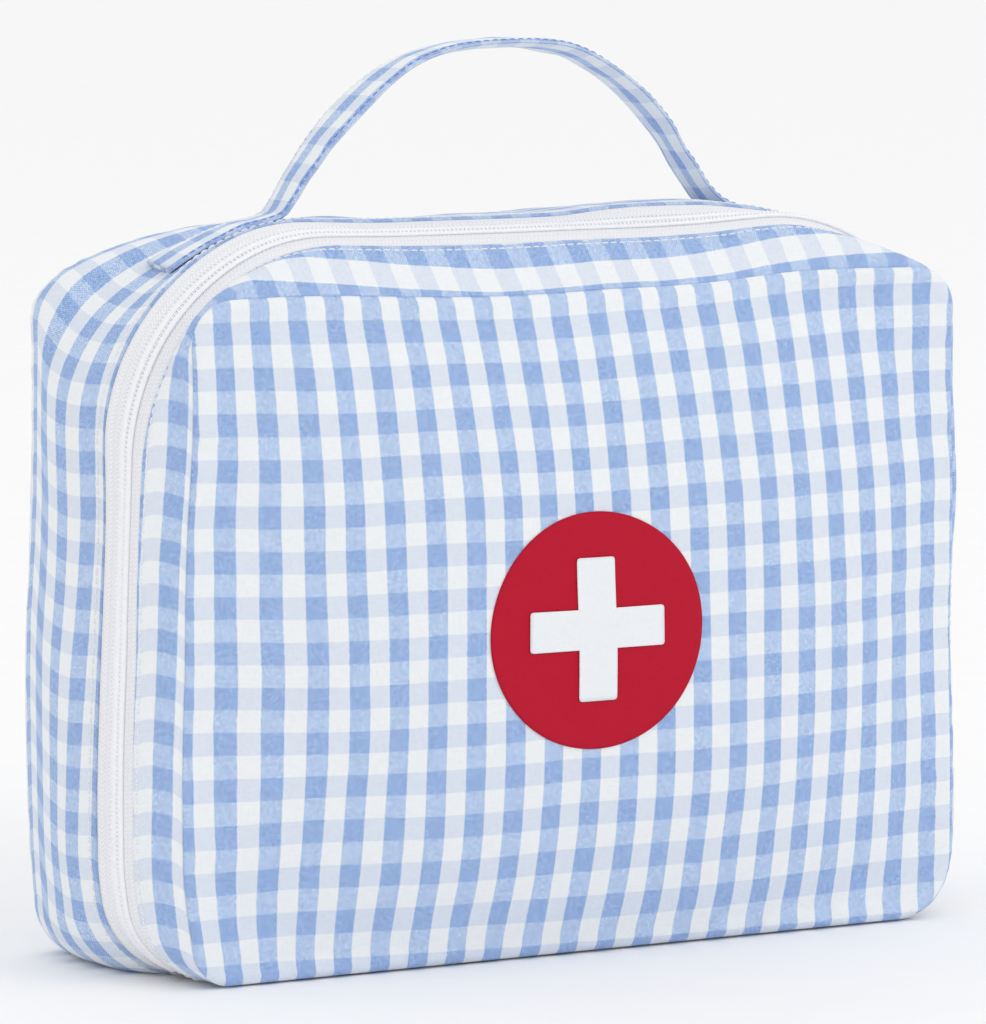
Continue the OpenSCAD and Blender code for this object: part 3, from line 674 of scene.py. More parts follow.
def crownRise(x, z, shape):
    mid, high = midAndHalf(shape)
    sx = np.clip(np.abs(x - shape["shift"]) / shape["half"], 0, 1)
    sz = np.clip(np.abs(z - mid) / high, 0, 1)
    even = shape["crownPower"]
    power = (even + (shape["topPower"] - even) * ramp(z, mid, shape["high"] - shape["topFrom"])
             + (shape["lowPower"] - even) * (1 - ramp(z, shape["low"] + shape["lowFrom"], mid)))
    return shape["crown"] * (1 - sx ** even) * (1 - sz ** power)


def gathers(along, away, waves, seed):
    return sum(size * ripple(along / fine, away / long, layer, seed) for size, fine, long, layer in waves)


def panelRise(x, z, inside, shape, swell, seed):
    # how far the panel stands out from its seam; inside is the distance from the seam
    mid, high = midAndHalf(shape)
    roll = shape["roll"] * (1 - np.exp(-inside / shape["rollWide"]))
    rise = crownRise(x, z, shape) + roll - shape["seamDrop"]
    # small gathers square to the nearest seam
    nearSide = ramp((shape["half"] - np.abs(x - shape["shift"])) - (high - np.abs(z - mid)), -6, 6)
    level = sum(size * ripple(x / long, z / fine, layer, seed + 1)
                for size, fine, long, layer in shape["levelGathers"])
    gather = gathers(x, z, shape["gathers"], seed) * nearSide + level * (1 - nearSide)
    rise += shape["puckers"] * gather * np.exp(-inside / shape["puckerReach"]) * ramp(inside, 0, 1.5)
    # the printed film holds the cloth smooth
    away = np.hypot(x - shape["stiffAt"][0], z - shape["stiffAt"][1]) / shape["stiffWide"]
    loose = 1 - shape["stiff"] * np.exp(-away ** 4)
    wide, tall = shape["waveSize"]
    rise += shape["waves"] * ripple(x / wide, z / tall, 0, seed + 2) * ramp(inside, 2, 18) * loose
    rise += sampled(swell, x, z) * ramp(inside, 0, 6) * loose
    return rise + foldHeight(x, z, shape["folds"]) * ramp(inside, 0, 8)


def panelGrid(shape, inset=0.0, depth=None):
    # rings from the seam to the middle, close together at the seam, with their distance from it
    edge = hoop(shape["seam"] if depth is None else depth, inset, True)
    centre = np.array([shape["shift"], midAndHalf(shape)[0]])
    share = 1 - (np.arange(shape["rings"]) / shape["rings"]) ** 1.45
    x = centre[0] + (edge[None, :, 0] - centre[0]) * share[:, None]
    z = centre[1] + (edge[None, :, 1] - centre[1]) * share[:, None]
    along = np.roll(edge, -1, axis=0) - np.roll(edge, 1, axis=0)
    square = np.stack([-along[:, 1], along[:, 0]], axis=1) / np.linalg.norm(along, axis=1)[:, None]
    return x, z, np.abs(((edge - centre) * square).sum(1))[None, :] * (1 - share[:, None])


# cloth simulation: how air and stuffing swell a panel between its seams
swellSim = {
    "voxel": 5.0, "pressure": 4.0, "frames": 20, "cap": 4.0, "cell": 4.0, "start": 0.8, "share": 0.4,
    "stiff": 14.0, "bend": 0.6, "spare": -0.02,
    "sag": 0.6, "thick": 8.0,  # the face's first unevenness, and how far the back lies behind its seam
    "nearFace": 3.0, "seamHold": 4.0,  # points this near the face, and farther from the seam, are free
    "margin": 6,
}


def swellPad(shape, seed):
    # the panel's face and a flat back as one closed cushion of even cells
    x, z, inside = [part[::3, ::3] for part in panelGrid(shape)]
    sag = swellSim["sag"] * ripple(x / 30, z / 26, 0, seed)
    rise = crownRise(x, z, shape) * swellSim["start"] + sag * ramp(inside, 0, 10)
    face = shape["seam"] - shape["front"] * rise
    back = np.full_like(face, shape["seam"] + shape["front"] * swellSim["thick"])
    rows, cols = face.shape
    count = face.size
    points = np.concatenate([np.stack([x, side, z], axis=-1).reshape(-1, 3) for side in (face, back)])
    ring = np.append(np.arange(cols), 0)
    inner = count - cols + np.arange(cols)
    faces = [gridQuads(rows, cols, True), gridQuads(rows, cols, True, count)[:, ::-1],
             rimQuads(ring, ring + count), inner[None], (inner + count)[None, ::-1]]
    pad = meshPiece("swelling", points, faces, gingham)
    remesh = pad.modifiers.new("even", "REMESH")
    remesh.mode, remesh.voxel_size = "VOXEL", swellSim["voxel"] * mm
    pad.data = bpy.data.meshes.new_from_object(pad.evaluated_get(bpy.context.evaluated_depsgraph_get()))
    pad.modifiers.clear()
    return pad


def spotsOf(mesh):
    return np.array([v.co for v in mesh.vertices]) / mm - [0, seamY, 0]


def pressed(pad, onFace):
    # where the points lie after air has pushed the free ones out
    held = pad.vertex_groups.new(name="held")
    held.add([int(i) for i in np.flatnonzero(~onFace)], 1.0, "REPLACE")
    cloth = pad.modifiers.new("press", "CLOTH")
    force = cloth.settings
    force.quality = 6
    force.vertex_group_mass = "held"
    force.tension_stiffness = force.compression_stiffness = swellSim["stiff"]
    force.bending_stiffness = swellSim["bend"]
    force.use_pressure = True
    force.uniform_pressure_force = swellSim["pressure"]
    force.shrink_min = swellSim["spare"]
    force.effector_weights.gravity = 0
    cloth.collision_settings.use_collision = False
    scene = bpy.context.scene
    for number in range(1, swellSim["frames"] + 1):
        scene.frame_set(number)
    after = spotsOf(pad.evaluated_get(bpy.context.evaluated_depsgraph_get()).to_mesh())
    scene.frame_set(1)
    return after


def swollen(shape, seed):
    # heights in mm over the panel, on a grid of cells, from a pressed cloth that is held at its seam
    columns, rows = np.arange(-120, 121, swellSim["cell"]), np.arange(-4, 185, swellSim["cell"])
    heights = np.zeros((len(rows), len(columns)))
    pad = swellPad(shape, seed)
    before = spotsOf(pad.data)
    x, depth, z = before.T
    faceWas = shape["seam"] - shape["front"] * crownRise(x, z, shape) * swellSim["start"]
    edge = hoop(shape["seam"], 0, True)
    far = np.min(np.hypot(x[:, None] - edge[None, :, 0], z[:, None] - edge[None, :, 1]), axis=1)
    onFace = (np.abs(depth - faceWas) < swellSim["nearFace"]) & (far > swellSim["seamHold"])
    move = -shape["front"] * (pressed(pad, onFace) - before)[:, 1]
    bpy.data.objects.remove(pad)
    print("cloth swelling of", len(before), "points, before the cap from",
          round(float(move[onFace].min()), 2), "to", round(float(move[onFace].max()), 2), "mm")
    tree = KDTree(int(onFace.sum()))
    for i, spot in enumerate(before[onFace]):
        tree.insert((spot[0], 0.0, spot[2]), i)
    tree.balance()
    moves = move[onFace]
    for r, high in enumerate(rows):
        for c, wide in enumerate(columns):
            near = tree.find_n((wide, 0.0, high), 5)
            weight = np.array([1 / (dist * dist + 4.0) for _, _, dist in near])
            heights[r, c] = (weight * moves[[i for _, i, _ in near]]).sum() / weight.sum()
    # only how it differs from an even swelling is kept, within the cap
    mid, half = midAndHalf(shape)
    inPanel = ((np.abs(columns[None, :] - shape["shift"]) < shape["half"] - swellSim["margin"])
               & (np.abs(rows[:, None] - mid) < half - swellSim["margin"]))
    heights = (heights - heights[inPanel].mean()) * swellSim["share"]
    return columns, rows, np.clip(heights, -swellSim["cap"], swellSim["cap"])


def sampled(swell, x, z):
    # smooth reading between the cells
    columns, rows, heights = swell
    u, v = (x - columns[0]) / swellSim["cell"], (z - rows[0]) / swellSim["cell"]
    i, j = np.floor(u).astype(int), np.floor(v).astype(int)
    total = np.zeros(np.shape(x))

    def weights(t):
        return [(-t ** 3 + 2 * t ** 2 - t) / 2, (3 * t ** 3 - 5 * t ** 2 + 2) / 2,
                (-3 * t ** 3 + 4 * t ** 2 + t) / 2, (t ** 3 - t ** 2) / 2]

    for dj, wz in zip((-1, 0, 1, 2), weights(v - j)):
        for di, wx in zip((-1, 0, 1, 2), weights(u - i)):
            row = np.clip(j + dj, 0, len(rows) - 1)
            column = np.clip(i + di, 0, len(columns) - 1)
            total += wz * wx * heights[row, column]
    return total


def panelCloth(x, z, shape):
    # flat cloth coordinates, in repeats, measured along the crowned surface
    half, x = shape["half"], x - shape["shift"]
    stretch = 2 * shape["crown"] ** 2 / (3 * half ** 4)
    across = (x + stretch * x ** 3) / (half + stretch * half ** 3)
    u = (shape["front"] * across + 1) / 2 * shape["columnRepeats"] - shape["columnPhase"]
    mid, high = midAndHalf(shape)
    rise = 2 * shape["crown"] ** 2 / (3 * high ** 4)
    v = (z + rise * (z - mid) ** 3) / rowPitch + shape["rowPhase"]
    x = np.clip((x + shape["shift"]) / shape["driftWide"], -1, 1)
    tall = (z - shape["driftMiddle"]) / shape["driftMiddle"]
    foot = np.clip((shape["footBelow"] - z) / shape["footBelow"], 0, 1) ** 2
    head = np.clip((z - shape["headAbove"]) / shape["headTall"], 0, 1) ** 2
    columns = [1, x, x ** 2, x ** 3, tall, x * tall, x ** 2 * tall, x ** 3 * tall]
    rows = [1, x, x ** 2, foot, foot * x, head]
    u = u - sum(size * part for size, part in zip(shape["columnDrift"], columns))
    v = v - sum(size * part for size, part in zip(shape["rowDrift"], rows))
    return np.stack([u, v], axis=-1)


def makePanel(name, finish, shape, swell, seed, inset=0.0, drop=0.0, thick=0.6):
    # a lining is the same panel, set in by inset and lying drop mm deeper
    x, z, inside = panelGrid(shape, inset, shape["seam"] + shape["front"] * drop)
    depth = shape["seam"] + shape["front"] * (drop - panelRise(x, z, inside, shape, swell, seed))
    points = np.stack([x, depth, z], axis=-1)
    # the seam allowance turns inward behind the first ring
    allowance = points[:1].copy()
    deep, inward = shape["allowance"]
    allowance[..., 1] += shape["front"] * deep
    allowance[..., 0] -= inward * np.sign(allowance[..., 0])
    points = slump(np.concatenate([allowance, points]))
    uv = panelCloth(x, z, shape)
    uv = np.concatenate([uv[:1], uv])
    return panelPiece(name, points, uv, thick, finish, side=-shape["front"])


frontSwell = swollen(panelShape, 5)
backSwell = swollen(backShape, 6)
print("cloth simulation done")
frontPanel = makePanel("frontPanel", gingham, panelShape, frontSwell, 21)
standsFor(frontPanel, "gingham", "front_shell", "front_panel", "front_panel_foam")
print("front panel made")


# strips round the sides and top
def stripRows(profile, step, closed=False):
    # rows of a strip from its cross-section: depth and outward offset
    line = smoothLine(profile, step)
    rows = np.stack([hoop(depth, -out, closed) for depth, out in line])
    depth = np.broadcast_to(line[:, :1], rows.shape[:2])
    return np.stack([rows[..., 0], depth, rows[..., 1]], axis=-1), line


def acrossRun(line):
    half = np.array([outline("half", d) for d in line[:, 0]])
    return runOf(np.stack([line[:, 0], half + line[:, 1]], axis=1))


def stripNormals(points):
    n = normalsOf(points, False)
    middle = np.array([0, points[..., 1].mean(), 85.0])
    away = ((points - middle) * n).sum(-1).mean()
    return n if away > 0 else -n


def outerSide(points, closed=False):
    # 1 where the grid's own normals point outward, or else -1
    return 1 if (stripNormals(points) * normalsOf(points, closed)).sum(-1).mean() > 0 else -1


gussetShape = {
    "puckers": 0.32, "gathers": [(1, 3.4, 16, 0), (0.5, 2.0, 12, 2)], "hem": 0.12, "waves": 0.7,
    "deepest": -0.4, "thick": 0.45,
}
# each profile is depth and outward offset, from one turned edge to the other; drift, stretch and tuck say
# how far the stripes wander along the zip, in mm, and how the cloth is eased in
frontStrip = {
    "profile": [(1.6, -3.2), (0.9, -1.5), (0.7, -0.5), (1.3, 0.25), (2.6, 0.5), (5.0, 0.7), (7.4, 0.5),
                (8.7, 0.05), (9.15, -0.4), (8.8, -0.8), (7.6, -0.85), (5.2, -0.8)],
    "step": 0.55, "seed": 31, "seam": 0.0, "zip": 9.0, "edge": (9.15, -0.4), "sign": 1, "stitches": 7.6,
    "drift": [(0, 4.6), (50, 5.3), (75, 5.8), (100, 6.3), (140, 6.8), (190, 7.4), (225, 9.0), (260, 10.6),
              (300, 10.2), (330, 8.6), (380, 7.9)],
    "stretch": [(190, 1.11), (240, 1.0)], "tuck": [(0, 0.0)], "phase": 0.16,
}
rearStrip = {
    "profile": [(26.0, -0.8), (23.6, -0.85), (22.0, -0.8), (21.35, -0.4), (21.9, 0.05), (24.0, 0.3),
                (30, 0.4), (38, 0.3), (48, 0.2), (58, 0.2), (62.4, 0.1), (63.9, -0.5), (64.2, -1.4),
                (63.4, -3.4)],
    "step": 1.1, "seed": 41, "seam": 64.5, "zip": 21.5, "edge": (21.35, -0.4), "sign": -1, "stitches": 23.1,
    "drift": [(0, -3.5), (45, -4.5), (75, -6.0), (98, -6.6), (120, -7.5), (137, -7.6), (150, -6.4),
              (162, -4.9), (180, -3.8), (200, -3.2), (230, -2.4)],
    "stretch": [(0, 1.0)], "tuck": [(150, 4.5), (180, 0.0)], "phase": 0.2,
}


def gussetCloth(points, line, strip):
    # stripes run along the strip at a set distance from the zip's edge, and drift a little
    across = acrossRun(line)
    edge = int(np.argmin(np.hypot(line[:, 0] - strip["edge"][0], line[:, 1] - strip["edge"][1])))
    away = strip["sign"] * (across[edge] - across)[:, None]
    drift, stretch, tuck = [np.interp(zipRun, *zip(*strip[part]))[None, :]
                            for part in ("drift", "stretch", "tuck")]
    u = (away * stretch - drift - tuck * np.exp(-away ** 2)) / columnPitch
    # rows of checks are counted from the middle of the top
    run = np.stack([runOf(row) for row in points])
    middle = points.shape[1] // 2
    v = (run - run[:, middle:middle + 1] + zipRun[middle]) / rowPitch + strip["phase"]
    return np.stack([u, v], axis=-1)


def gussetWrinkles(line, strip):
    # none on the turned edges, and never so deep that the layer below shows
    run, depth, seed = zipRun[None, :], line[:, :1], strip["seed"]
    fromSeam, fromZip = np.abs(depth - strip["seam"]), np.abs(depth - strip["zip"])
    seamNear = np.exp(-fromSeam / 5.0) * ramp(fromSeam, 0.4, 2.5)
    hem = np.exp(-fromZip / 3.0)
    tight = ripple(run / 5.0, 0.0, 5, seed + 3)
    wave = ripple(run / 26, depth / 18, 0, seed + 1) * (1 - 0.6 * hem)
    low = 0.25 + 0.75 * np.minimum(ramp(zipRun, 0, 16), ramp(zipRun[-1] - zipRun, 0, 16))[None, :]
    gather = gathers(run, depth, gussetShape["gathers"], seed)
    total = (gussetShape["puckers"] * gather * seamNear + gussetShape["hem"] * tight * hem
             + gussetShape["waves"] * wave * (0.3 + 0.7 * ramp(fromZip, 0, 8)))
    return np.maximum(total, gussetShape["deepest"]) * low * ramp(line[:, 1:], -0.7, 0.1)


def wrinkledStrip(strip):
    points, line = stripRows(strip["profile"], strip["step"])
    return points, points + stripNormals(points) * gussetWrinkles(line, strip)[..., None], line


def makeGusset(name, strip):
    smooth, points, line = wrinkledStrip(strip)
    uv = gussetCloth(smooth, line, strip)
    return clothPiece(name, slump(points), uv, gussetShape["thick"], gingham, side=outerSide(points))


frontGusset = makeGusset("frontGusset", frontStrip)
standsFor(frontGusset, "gingham", "front_shell", "front_gusset")
rearGusset = makeGusset("rearGusset", rearStrip)
standsFor(rearGusset, "gingham", "rear_shell", "rear_gusset", "rear_gusset_foam")
print("gussets made")

backPanel = makePanel("backPanel", gingham, backShape, backSwell, 51)
standsFor(backPanel, "gingham", "rear_shell", "back_panel", "back_panel_foam")


# base
baseShape = {
    "rear": [(17.5, 0.0), (21, 0.0), (40, 0.0), (60, 0.0), (61.4, 0.0), (62.4, 0.0), (63.9, -0.5),
             (64.2, -1.4), (63.4, -3.4)],
    "front": [(1.6, -3.2), (0.9, -1.5), (0.7, -0.5), (1.3, 0.0), (2.6, 0.0), (8, 0.0), (13.0, 0.0)],
    "fold": [(12.8, 0.02), (15.25, 0.0), (17.7, 0.02)],
    "thick": 0.5, "phase": 0.2, "puff": 0.12, "puffWave": 14, "overlap": 0.4, "columns": 90,
    "foldFrom": 17.5, "foldTo": 13.0,
}


def bottomStrip(name, profile, step, finish, thick, seed, phase):
    # the part of the hoop between the lower corners, from right to left
    line = smoothLine(profile, step)
    end = caseShape["baseHalf"] + baseShape["overlap"]
    x = np.linspace(end, -end, baseShape["columns"])
    z = np.array([bottomAt(depth) - out for depth, out in line])[:, None]
    depth = np.broadcast_to(line[:, :1], (len(line), len(x)))
    wave = baseShape["puffWave"]
    puff = baseShape["puff"] * ripple(x[None, :] / wave, depth / wave, 0, seed)
    points = np.stack([np.broadcast_to(x, depth.shape), depth, z + np.abs(puff)], axis=-1)
    u = runOf(line)[:, None] / columnPitch + 0.0 * x[None, :]
    v = np.broadcast_to(x[None, :] / rowPitch + phase, u.shape)
    return clothPiece(name, points, np.stack([u, v], axis=-1), thick, finish, side=1)


def baseCloth(name, part, step, seed):
    return bottomStrip(name, baseShape[part], step, gingham, baseShape["thick"], seed, baseShape["phase"])


baseStrip = baseCloth("baseStrip", "rear", 1.5, 61)
standsFor(baseStrip, "gingham", "rear_shell", "base_strip", "base_foam")
frontBaseStrip = baseCloth("frontBaseStrip", "front", 0.8, 62)
standsFor(frontBaseStrip, "gingham", "front_shell", "front_base_strip")
baseFold = baseCloth("baseFold", "fold", 0.5, 63)
standsFor(baseFold, "gingham", None, "base_hinge_fold")
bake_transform(baseFold)
print("base made")

# zip
zipShape = {
    "pitch": 1.1, "toothR": 0.27, "reach": 0.75, "rowWide": 2.15,
    "tapeIn": 0.95, "start": 8.2, "end": 45.0,
    # the teeth's radius from the tape's edge to the tip, as a share
    "toothShares": [0.8, 0.95, 1.0, 1.0, 1.0, 0.95, 0.6],
    "cordWide": 1.5, "cordAway": 1.1, "cordIn": 0.58, "cordFlat": 0.36, "cordStep": 0.9, "cordEnd": 0.6,
    "tapeThick": 0.4, "tapeStep": 0.6,
    "rearProfile": [(15.34, -0.9), (17.2, -0.62), (19.2, -0.52), (20.6, -0.48), (21.4, -0.45), (22.2, -1.3),
                    (25.8, -1.3)],
    "frontProfile": [(4.6, -1.3), (8.2, -1.3), (9.0, -0.5), (9.8, -0.5), (11.3, -0.52), (13.3, -0.62),
                     (15.16, -0.9)],
}


def makeTape(name, profile, sign, body, node):
    points, line = stripRows(profile, zipShape["tapeStep"])
    away = sign * (line[:, :1] - zipMid)
    uv = np.stack(np.broadcast_arrays(away, zipRun[None, :]), axis=-1) / columnPitch
    piece = clothPiece(name, slump(points), uv, zipShape["tapeThick"], zipTape, side=outerSide(points))
    standsFor(piece, "zip_tape", body, node)


makeTape("rearZipTape", zipShape["rearProfile"], 1, "rear_shell", "rear_zip_tape")
makeTape("frontZipTape", zipShape["frontProfile"], -1, "front_shell", "front_zip_tape")


def trackAt(depth, inset, run):
    # points and outward directions along the hoop, at given distances along the zip line
    line = hoop(depth, inset)
    x, z = np.interp(run, zipRun, line[:, 0]), np.interp(run, zipRun, line[:, 1])
    slope = np.gradient(line, axis=0)
    tx, tz = np.interp(run, zipRun, slope[:, 0]), np.interp(run, zipRun, slope[:, 1])
    size = np.hypot(tx, tz)
    place = np.stack([x, np.full_like(x, depth), z], axis=-1)
    out = np.stack([-tz / size, np.zeros_like(x), tx / size], axis=-1)
    return place, out


def makeCoil(name, sign, phase, body, node):
    shape = zipShape
    reach, wide = shape["reach"], shape["rowWide"]
    run = np.arange(shape["start"] + phase * shape["pitch"], zipRun[-1] - shape["end"], shape["pitch"])
    # from the tape's edge over the hump to the tip between the other row's teeth
    hump = ((wide, 0.3), (wide - 0.35, 0.66), (1.2, 0.84), (0.5, 0.86), (0.0, 0.78), (-0.6 * reach, 0.7),
            (-reach, 0.5))
    stations = [trackAt(zipMid + sign * away, shape["tapeIn"] - high, run)[0] for away, high in hump]
    lines = slump(np.stack(stations, axis=1))
    _, out = trackAt(zipMid, 0, run)
    teeth = tubes(lines, np.array(shape["toothShares"]) * shape["toothR"], 8, 1.0, out[:, None, :])
    # the cord that the coil is sewn over
    dense = np.arange(run[0] - shape["cordEnd"], run[-1] + shape["cordEnd"], shape["cordStep"])
    core, coreOut = trackAt(zipMid + sign * shape["cordAway"], shape["cordIn"], dense)
    radii = np.full(len(dense), shape["cordWide"])
    cord = tubes(slump(core)[None], radii, 12, shape["cordFlat"], coreOut[None])
    standsFor(joinedPiece(name, [teeth, cord], zipNylon), "zip_coil", body, node)


makeCoil("rearZipCoil", 1, 0.0, "rear_shell", "rear_zip_coil")
makeCoil("frontZipCoil", -1, 0.5, "front_shell", "front_zip_coil")


# stitching
stitchShape = {
    "pitch": 2.35, "length": 1.9, "radius": 0.22, "first": 1.0, "last": 0.5,
    # height and thickness along one stitch, whose ends sink into the cloth
    "rise": [-0.2, 0.05, 0.12, 0.12, 0.05, -0.2], "shares": [0.6, 0.95, 1, 1, 0.95, 0.6],
}


def stitchPiece(name, place, out, finish):
    # place and out are dense rows along the seam
    shape = stitchShape
    run = runOf(place)
    starts = np.arange(shape["first"], run[-1] - shape["length"] - shape["last"], shape["pitch"])
    at = starts[:, None] + np.linspace(0, 1, len(shape["rise"]))[None, :] * shape["length"]
    points, normal = [np.stack([np.interp(at, run, rows[:, k]) for k in range(3)], axis=-1)
                      for rows in (place, out)]
    points = points + normal * np.array(shape["rise"])[None, :, None]
    thread = tubes(points, np.array(shape["shares"]) * shape["radius"], 6, 1.0, normal)
    return joinedPiece(name, [thread], finish)


def seamStitches(name, strip, body):
    _, points, line = wrinkledStrip(strip)
    out = stripNormals(points)
    points = slump(points)
    outside = line[:, 1] > -0.3
    row = int(np.argmin(np.abs(line[:, 0] - strip["stitches"]) + 99 * ~outside))
    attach(stitchPiece(name, points[row, 4:-4], out[row, 4:-4], whiteThread), body)


seamStitches("frontZipStitches", frontStrip, "front_shell")
seamStitches("rearZipStitches", rearStrip, "rear_shell")
print("zip and stitching made")

# handle
handleShape = {
    "depth": 39.5, "width": 19.0, "half": 1.15, "edge": 0.65, "edgeWide": (1.4, 4.0),
    "end": 92.5, "foot": 66, "lift": 1.3, "around": 36, "step": 1.5,
    "arch": [(-60.6, 178.6), (-58.4, 181.6), (-53.9, 188.6), (-42.6, 202.0), (-30, 212.2), (-15.6, 217.9),
             (-1.9, 219.3), (9.6, 218.6), (19.4, 215.8), (28.8, 211.2), (37.6, 204.8), (44.7, 197.2),
             (49.8, 189.8), (55.4, 181.8), (58.6, 178.6)],
    # the sewn ends are folded narrower, and the strap draws in where it leaves the case
    "tuck": 0.26, "tuckFrom": (66, 84), "sewnBelow": (178, 183),
    "pinch": 0.3, "pinchAt": 184, "pinchWide": 11,
    "wobble": 0.5, "twist": 5.0, "twistAbove": (181, 195), "edgeWave": 0.35,
    "bend": (0.181, 0.196),  # heights in metres between which it bends with the case and the arch
    "repeatPhase": 0.2, "stitches": 7.8,
}


def handleLine():
    shape = handleShape
    left = [(-x, float(roofAt(x, shape["depth"])) + shape["lift"])
            for x in np.linspace(shape["end"], shape["foot"], 7)]
    right = [(-x, z) for x, z in left[::-1]]
    return smoothLine(np.array(left + shape["arch"] + right), shape["step"])


def strapSection():
    # from the middle of the outer face round the front edge and back
    shape = handleShape
    half = shape["width"] / 2
    nearEdge, inside = half - shape["edgeWide"][0], half - shape["edgeWide"][1]
    section = []
    for k in range(shape["around"]):
        a = 2 * math.pi * (k + 0.5) / shape["around"]
        w = half * math.copysign(abs(math.cos(a)) ** 0.45, math.cos(a))
        thin = shape["edge"] + (shape["half"] - shape["edge"]) * float(ramp(abs(w), nearEdge, inside))
        section.append((w, thin * math.copysign(abs(math.sin(a)) ** 0.5, math.sin(a))))
    return np.array(section)


def makeHandle(section):
    shape = handleShape
    line = handleLine()
    run = runOf(line)
    x, z = line[:, 0], line[:, 1]
    along = unit(np.gradient(line, axis=0))
    outward = np.stack([-along[:, 1], along[:, 0]], axis=1)
    half = shape["width"] / 2
    wobble = shape["wobble"] * ripple(run / 14, 0.0, 0, 71)
    twist = np.radians(shape["twist"] * ripple(run / 30, 0.0, 2, 72)) * ramp(z, *shape["twistAbove"])
    narrow = 1 - shape["pinch"] * np.exp(-((z - shape["pinchAt"]) / shape["pinchWide"]) ** 2)
    sewn = 1 - ramp(z, *shape["sewnBelow"])
    tuck = shape["tuck"] * ramp(np.abs(x), *shape["tuckFrom"]) * sewn
    w = section[None, :, 0] * (narrow * (1 - tuck))[:, None] - half * tuck[:, None]
    n = section[None, :, 1] + 0.0 * run[:, None]
    n = n + shape["edgeWave"] * ripple(run[:, None] / 7, w / 6, 0, 73) * ramp(np.abs(w), half, half - 3)
    turnedW = w * np.cos(twist)[:, None] - n * np.sin(twist)[:, None]
    turnedN = w * np.sin(twist)[:, None] + n * np.cos(twist)[:, None]
    points = np.stack([line[:, :1] + outward[:, :1] * turnedN,
                       shape["depth"] + turnedW + wobble[:, None],
                       line[:, 1:] + outward[:, 1:] * turnedN], axis=-1)
    # the sewn ends take on the roof's slope from front to back
    for row in np.flatnonzero(sewn > 0):
        place = float(x[row])
        slope = [float(roofAt(place, shape["depth"] + float(v))) for v in w[row]]
        points[row, :, 2] += sewn[row] * (np.array(slope) - float(roofAt(place, shape["depth"])))
    return points, run


handleSection = strapSection()
handlePoints, handleRun = makeHandle(handleSection)
rows, cols = handlePoints.shape[:2]
caps = np.stack([np.arange(cols)[::-1], (rows - 1) * cols + np.arange(cols)])
# stripes run along the strap; each face has its own place in the check
onTop = handleSection[:, 1] > 0
acrossStrap = np.where(onTop, handleSection[:, 0], handleShape["width"] - handleSection[:, 0])
handleU = acrossStrap[None, :] / columnPitch + handleShape["repeatPhase"]
handleUv = np.stack(np.broadcast_arrays(handleU, handleRun[:, None] / rowPitch), axis=-1).reshape(-1, 2)
handlePlace = slump(handlePoints)
handleFaces = [gridQuads(rows, cols, True), caps]
handleStrap = meshPiece("handleStrap", handlePlace.reshape(-1, 3), handleFaces, gingham, handleUv)
standsFor(handleStrap, "gingham", None, "handle_strap", "handle_core", "handle_bend_left",
          "handle_bend_right", "handle_end_left", "handle_end_right")
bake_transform(handleStrap)


def strapStitches(name, w, finish):
    # a row of stitches near one long edge, on the outer face
    k = int(np.argmin(np.abs(handleSection[:, 0] - w) + 99 * (handleSection[:, 1] < 0)))
    place = handlePlace[:, k]
    out = unit(np.cross(np.gradient(place, axis=0), [0, 1.0, 0]))
    if out[:, 2].mean() < 0:
        out = -out
    piece = stitchPiece(name, place[2:-2], out[2:-2], finish)
    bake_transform(piece)


strapStitches("handleFrontStitches", -handleShape["stitches"], blueThread)
strapStitches("handleRearStitches", handleShape["stitches"], whiteThread)
print("handle made")

# printed emblem on the front panel
emblemShape = {
    "x": -2.2, "z": 80.8, "disc": 57.2, "discLift": 0.32, "discRings": 30, "discPoints": 144,
    "cross": 36.2, "crossTall": 34.6, "crossWide": 10.2, "crossLift": 0.5, "crossShift": (-0.2, 0.4),
    "crossRings": 14, "crossPoints": 240, "cornerR": 0.8, "thick": 0.2,
    "inside": 50.0,  # taken as its distance from the panel's seam, where no gathers reach
}


def filmPiece(name, edge, rings, centre, lift, finish, node):
    # rings of the edge's shape that close on the middle, lying on the panel
    share = (1 - np.arange(rings) / rings)[:, None]
    x, z = centre[0] + edge[None, :, 0] * share, centre[1] + edge[None, :, 1] * share
    rise = panelRise(x, z, np.full(x.shape, emblemShape["inside"]), panelShape, frontSwell, 21)
    points = slump(np.stack([x, -rise - lift, z], axis=-1))
    piece = panelPiece(name, points, panelCloth(x, z, panelShape), emblemShape["thick"], finish, side=-1)
    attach(piece, "front_shell")
    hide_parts(node)


def discEdge():
    angle = np.linspace(0, 2 * math.pi, emblemShape["discPoints"] + 1)[:-1]
    return np.stack([-np.cos(angle), np.sin(angle)], axis=1) * emblemShape["disc"] / 2


def crossEdge():
    # outline of the cross as points at even distances, with small rounded corners
    long, wide, r = emblemShape["cross"] / 2, emblemShape["crossWide"] / 2, emblemShape["cornerR"]
    corners = []
    for quarter in range(4):
        c, s = math.cos(quarter * math.pi / 2), math.sin(quarter * math.pi / 2)
        arm = [(wide, wide), (long - r, wide), (long - 0.25 * r, wide - 0.25 * r), (long, wide - r),
               (long, -wide + r), (long - 0.25 * r, -wide + 0.25 * r), (long - r, -wide), (wide, -wide)]
        corners += [(x * c - z * s, x * s + z * c) for x, z in arm[::-1]][:-1]
    corners = np.array(corners + corners[:1])
    run = runOf(corners)
    at = np.unique(np.concatenate([np.linspace(0, run[-1], emblemShape["crossPoints"]), run]))[:-1]
    edge = np.stack([np.interp(at, run, corners[:, k]) for k in range(2)], axis=1)
    return edge * [1, emblemShape["crossTall"] / emblemShape["cross"]]


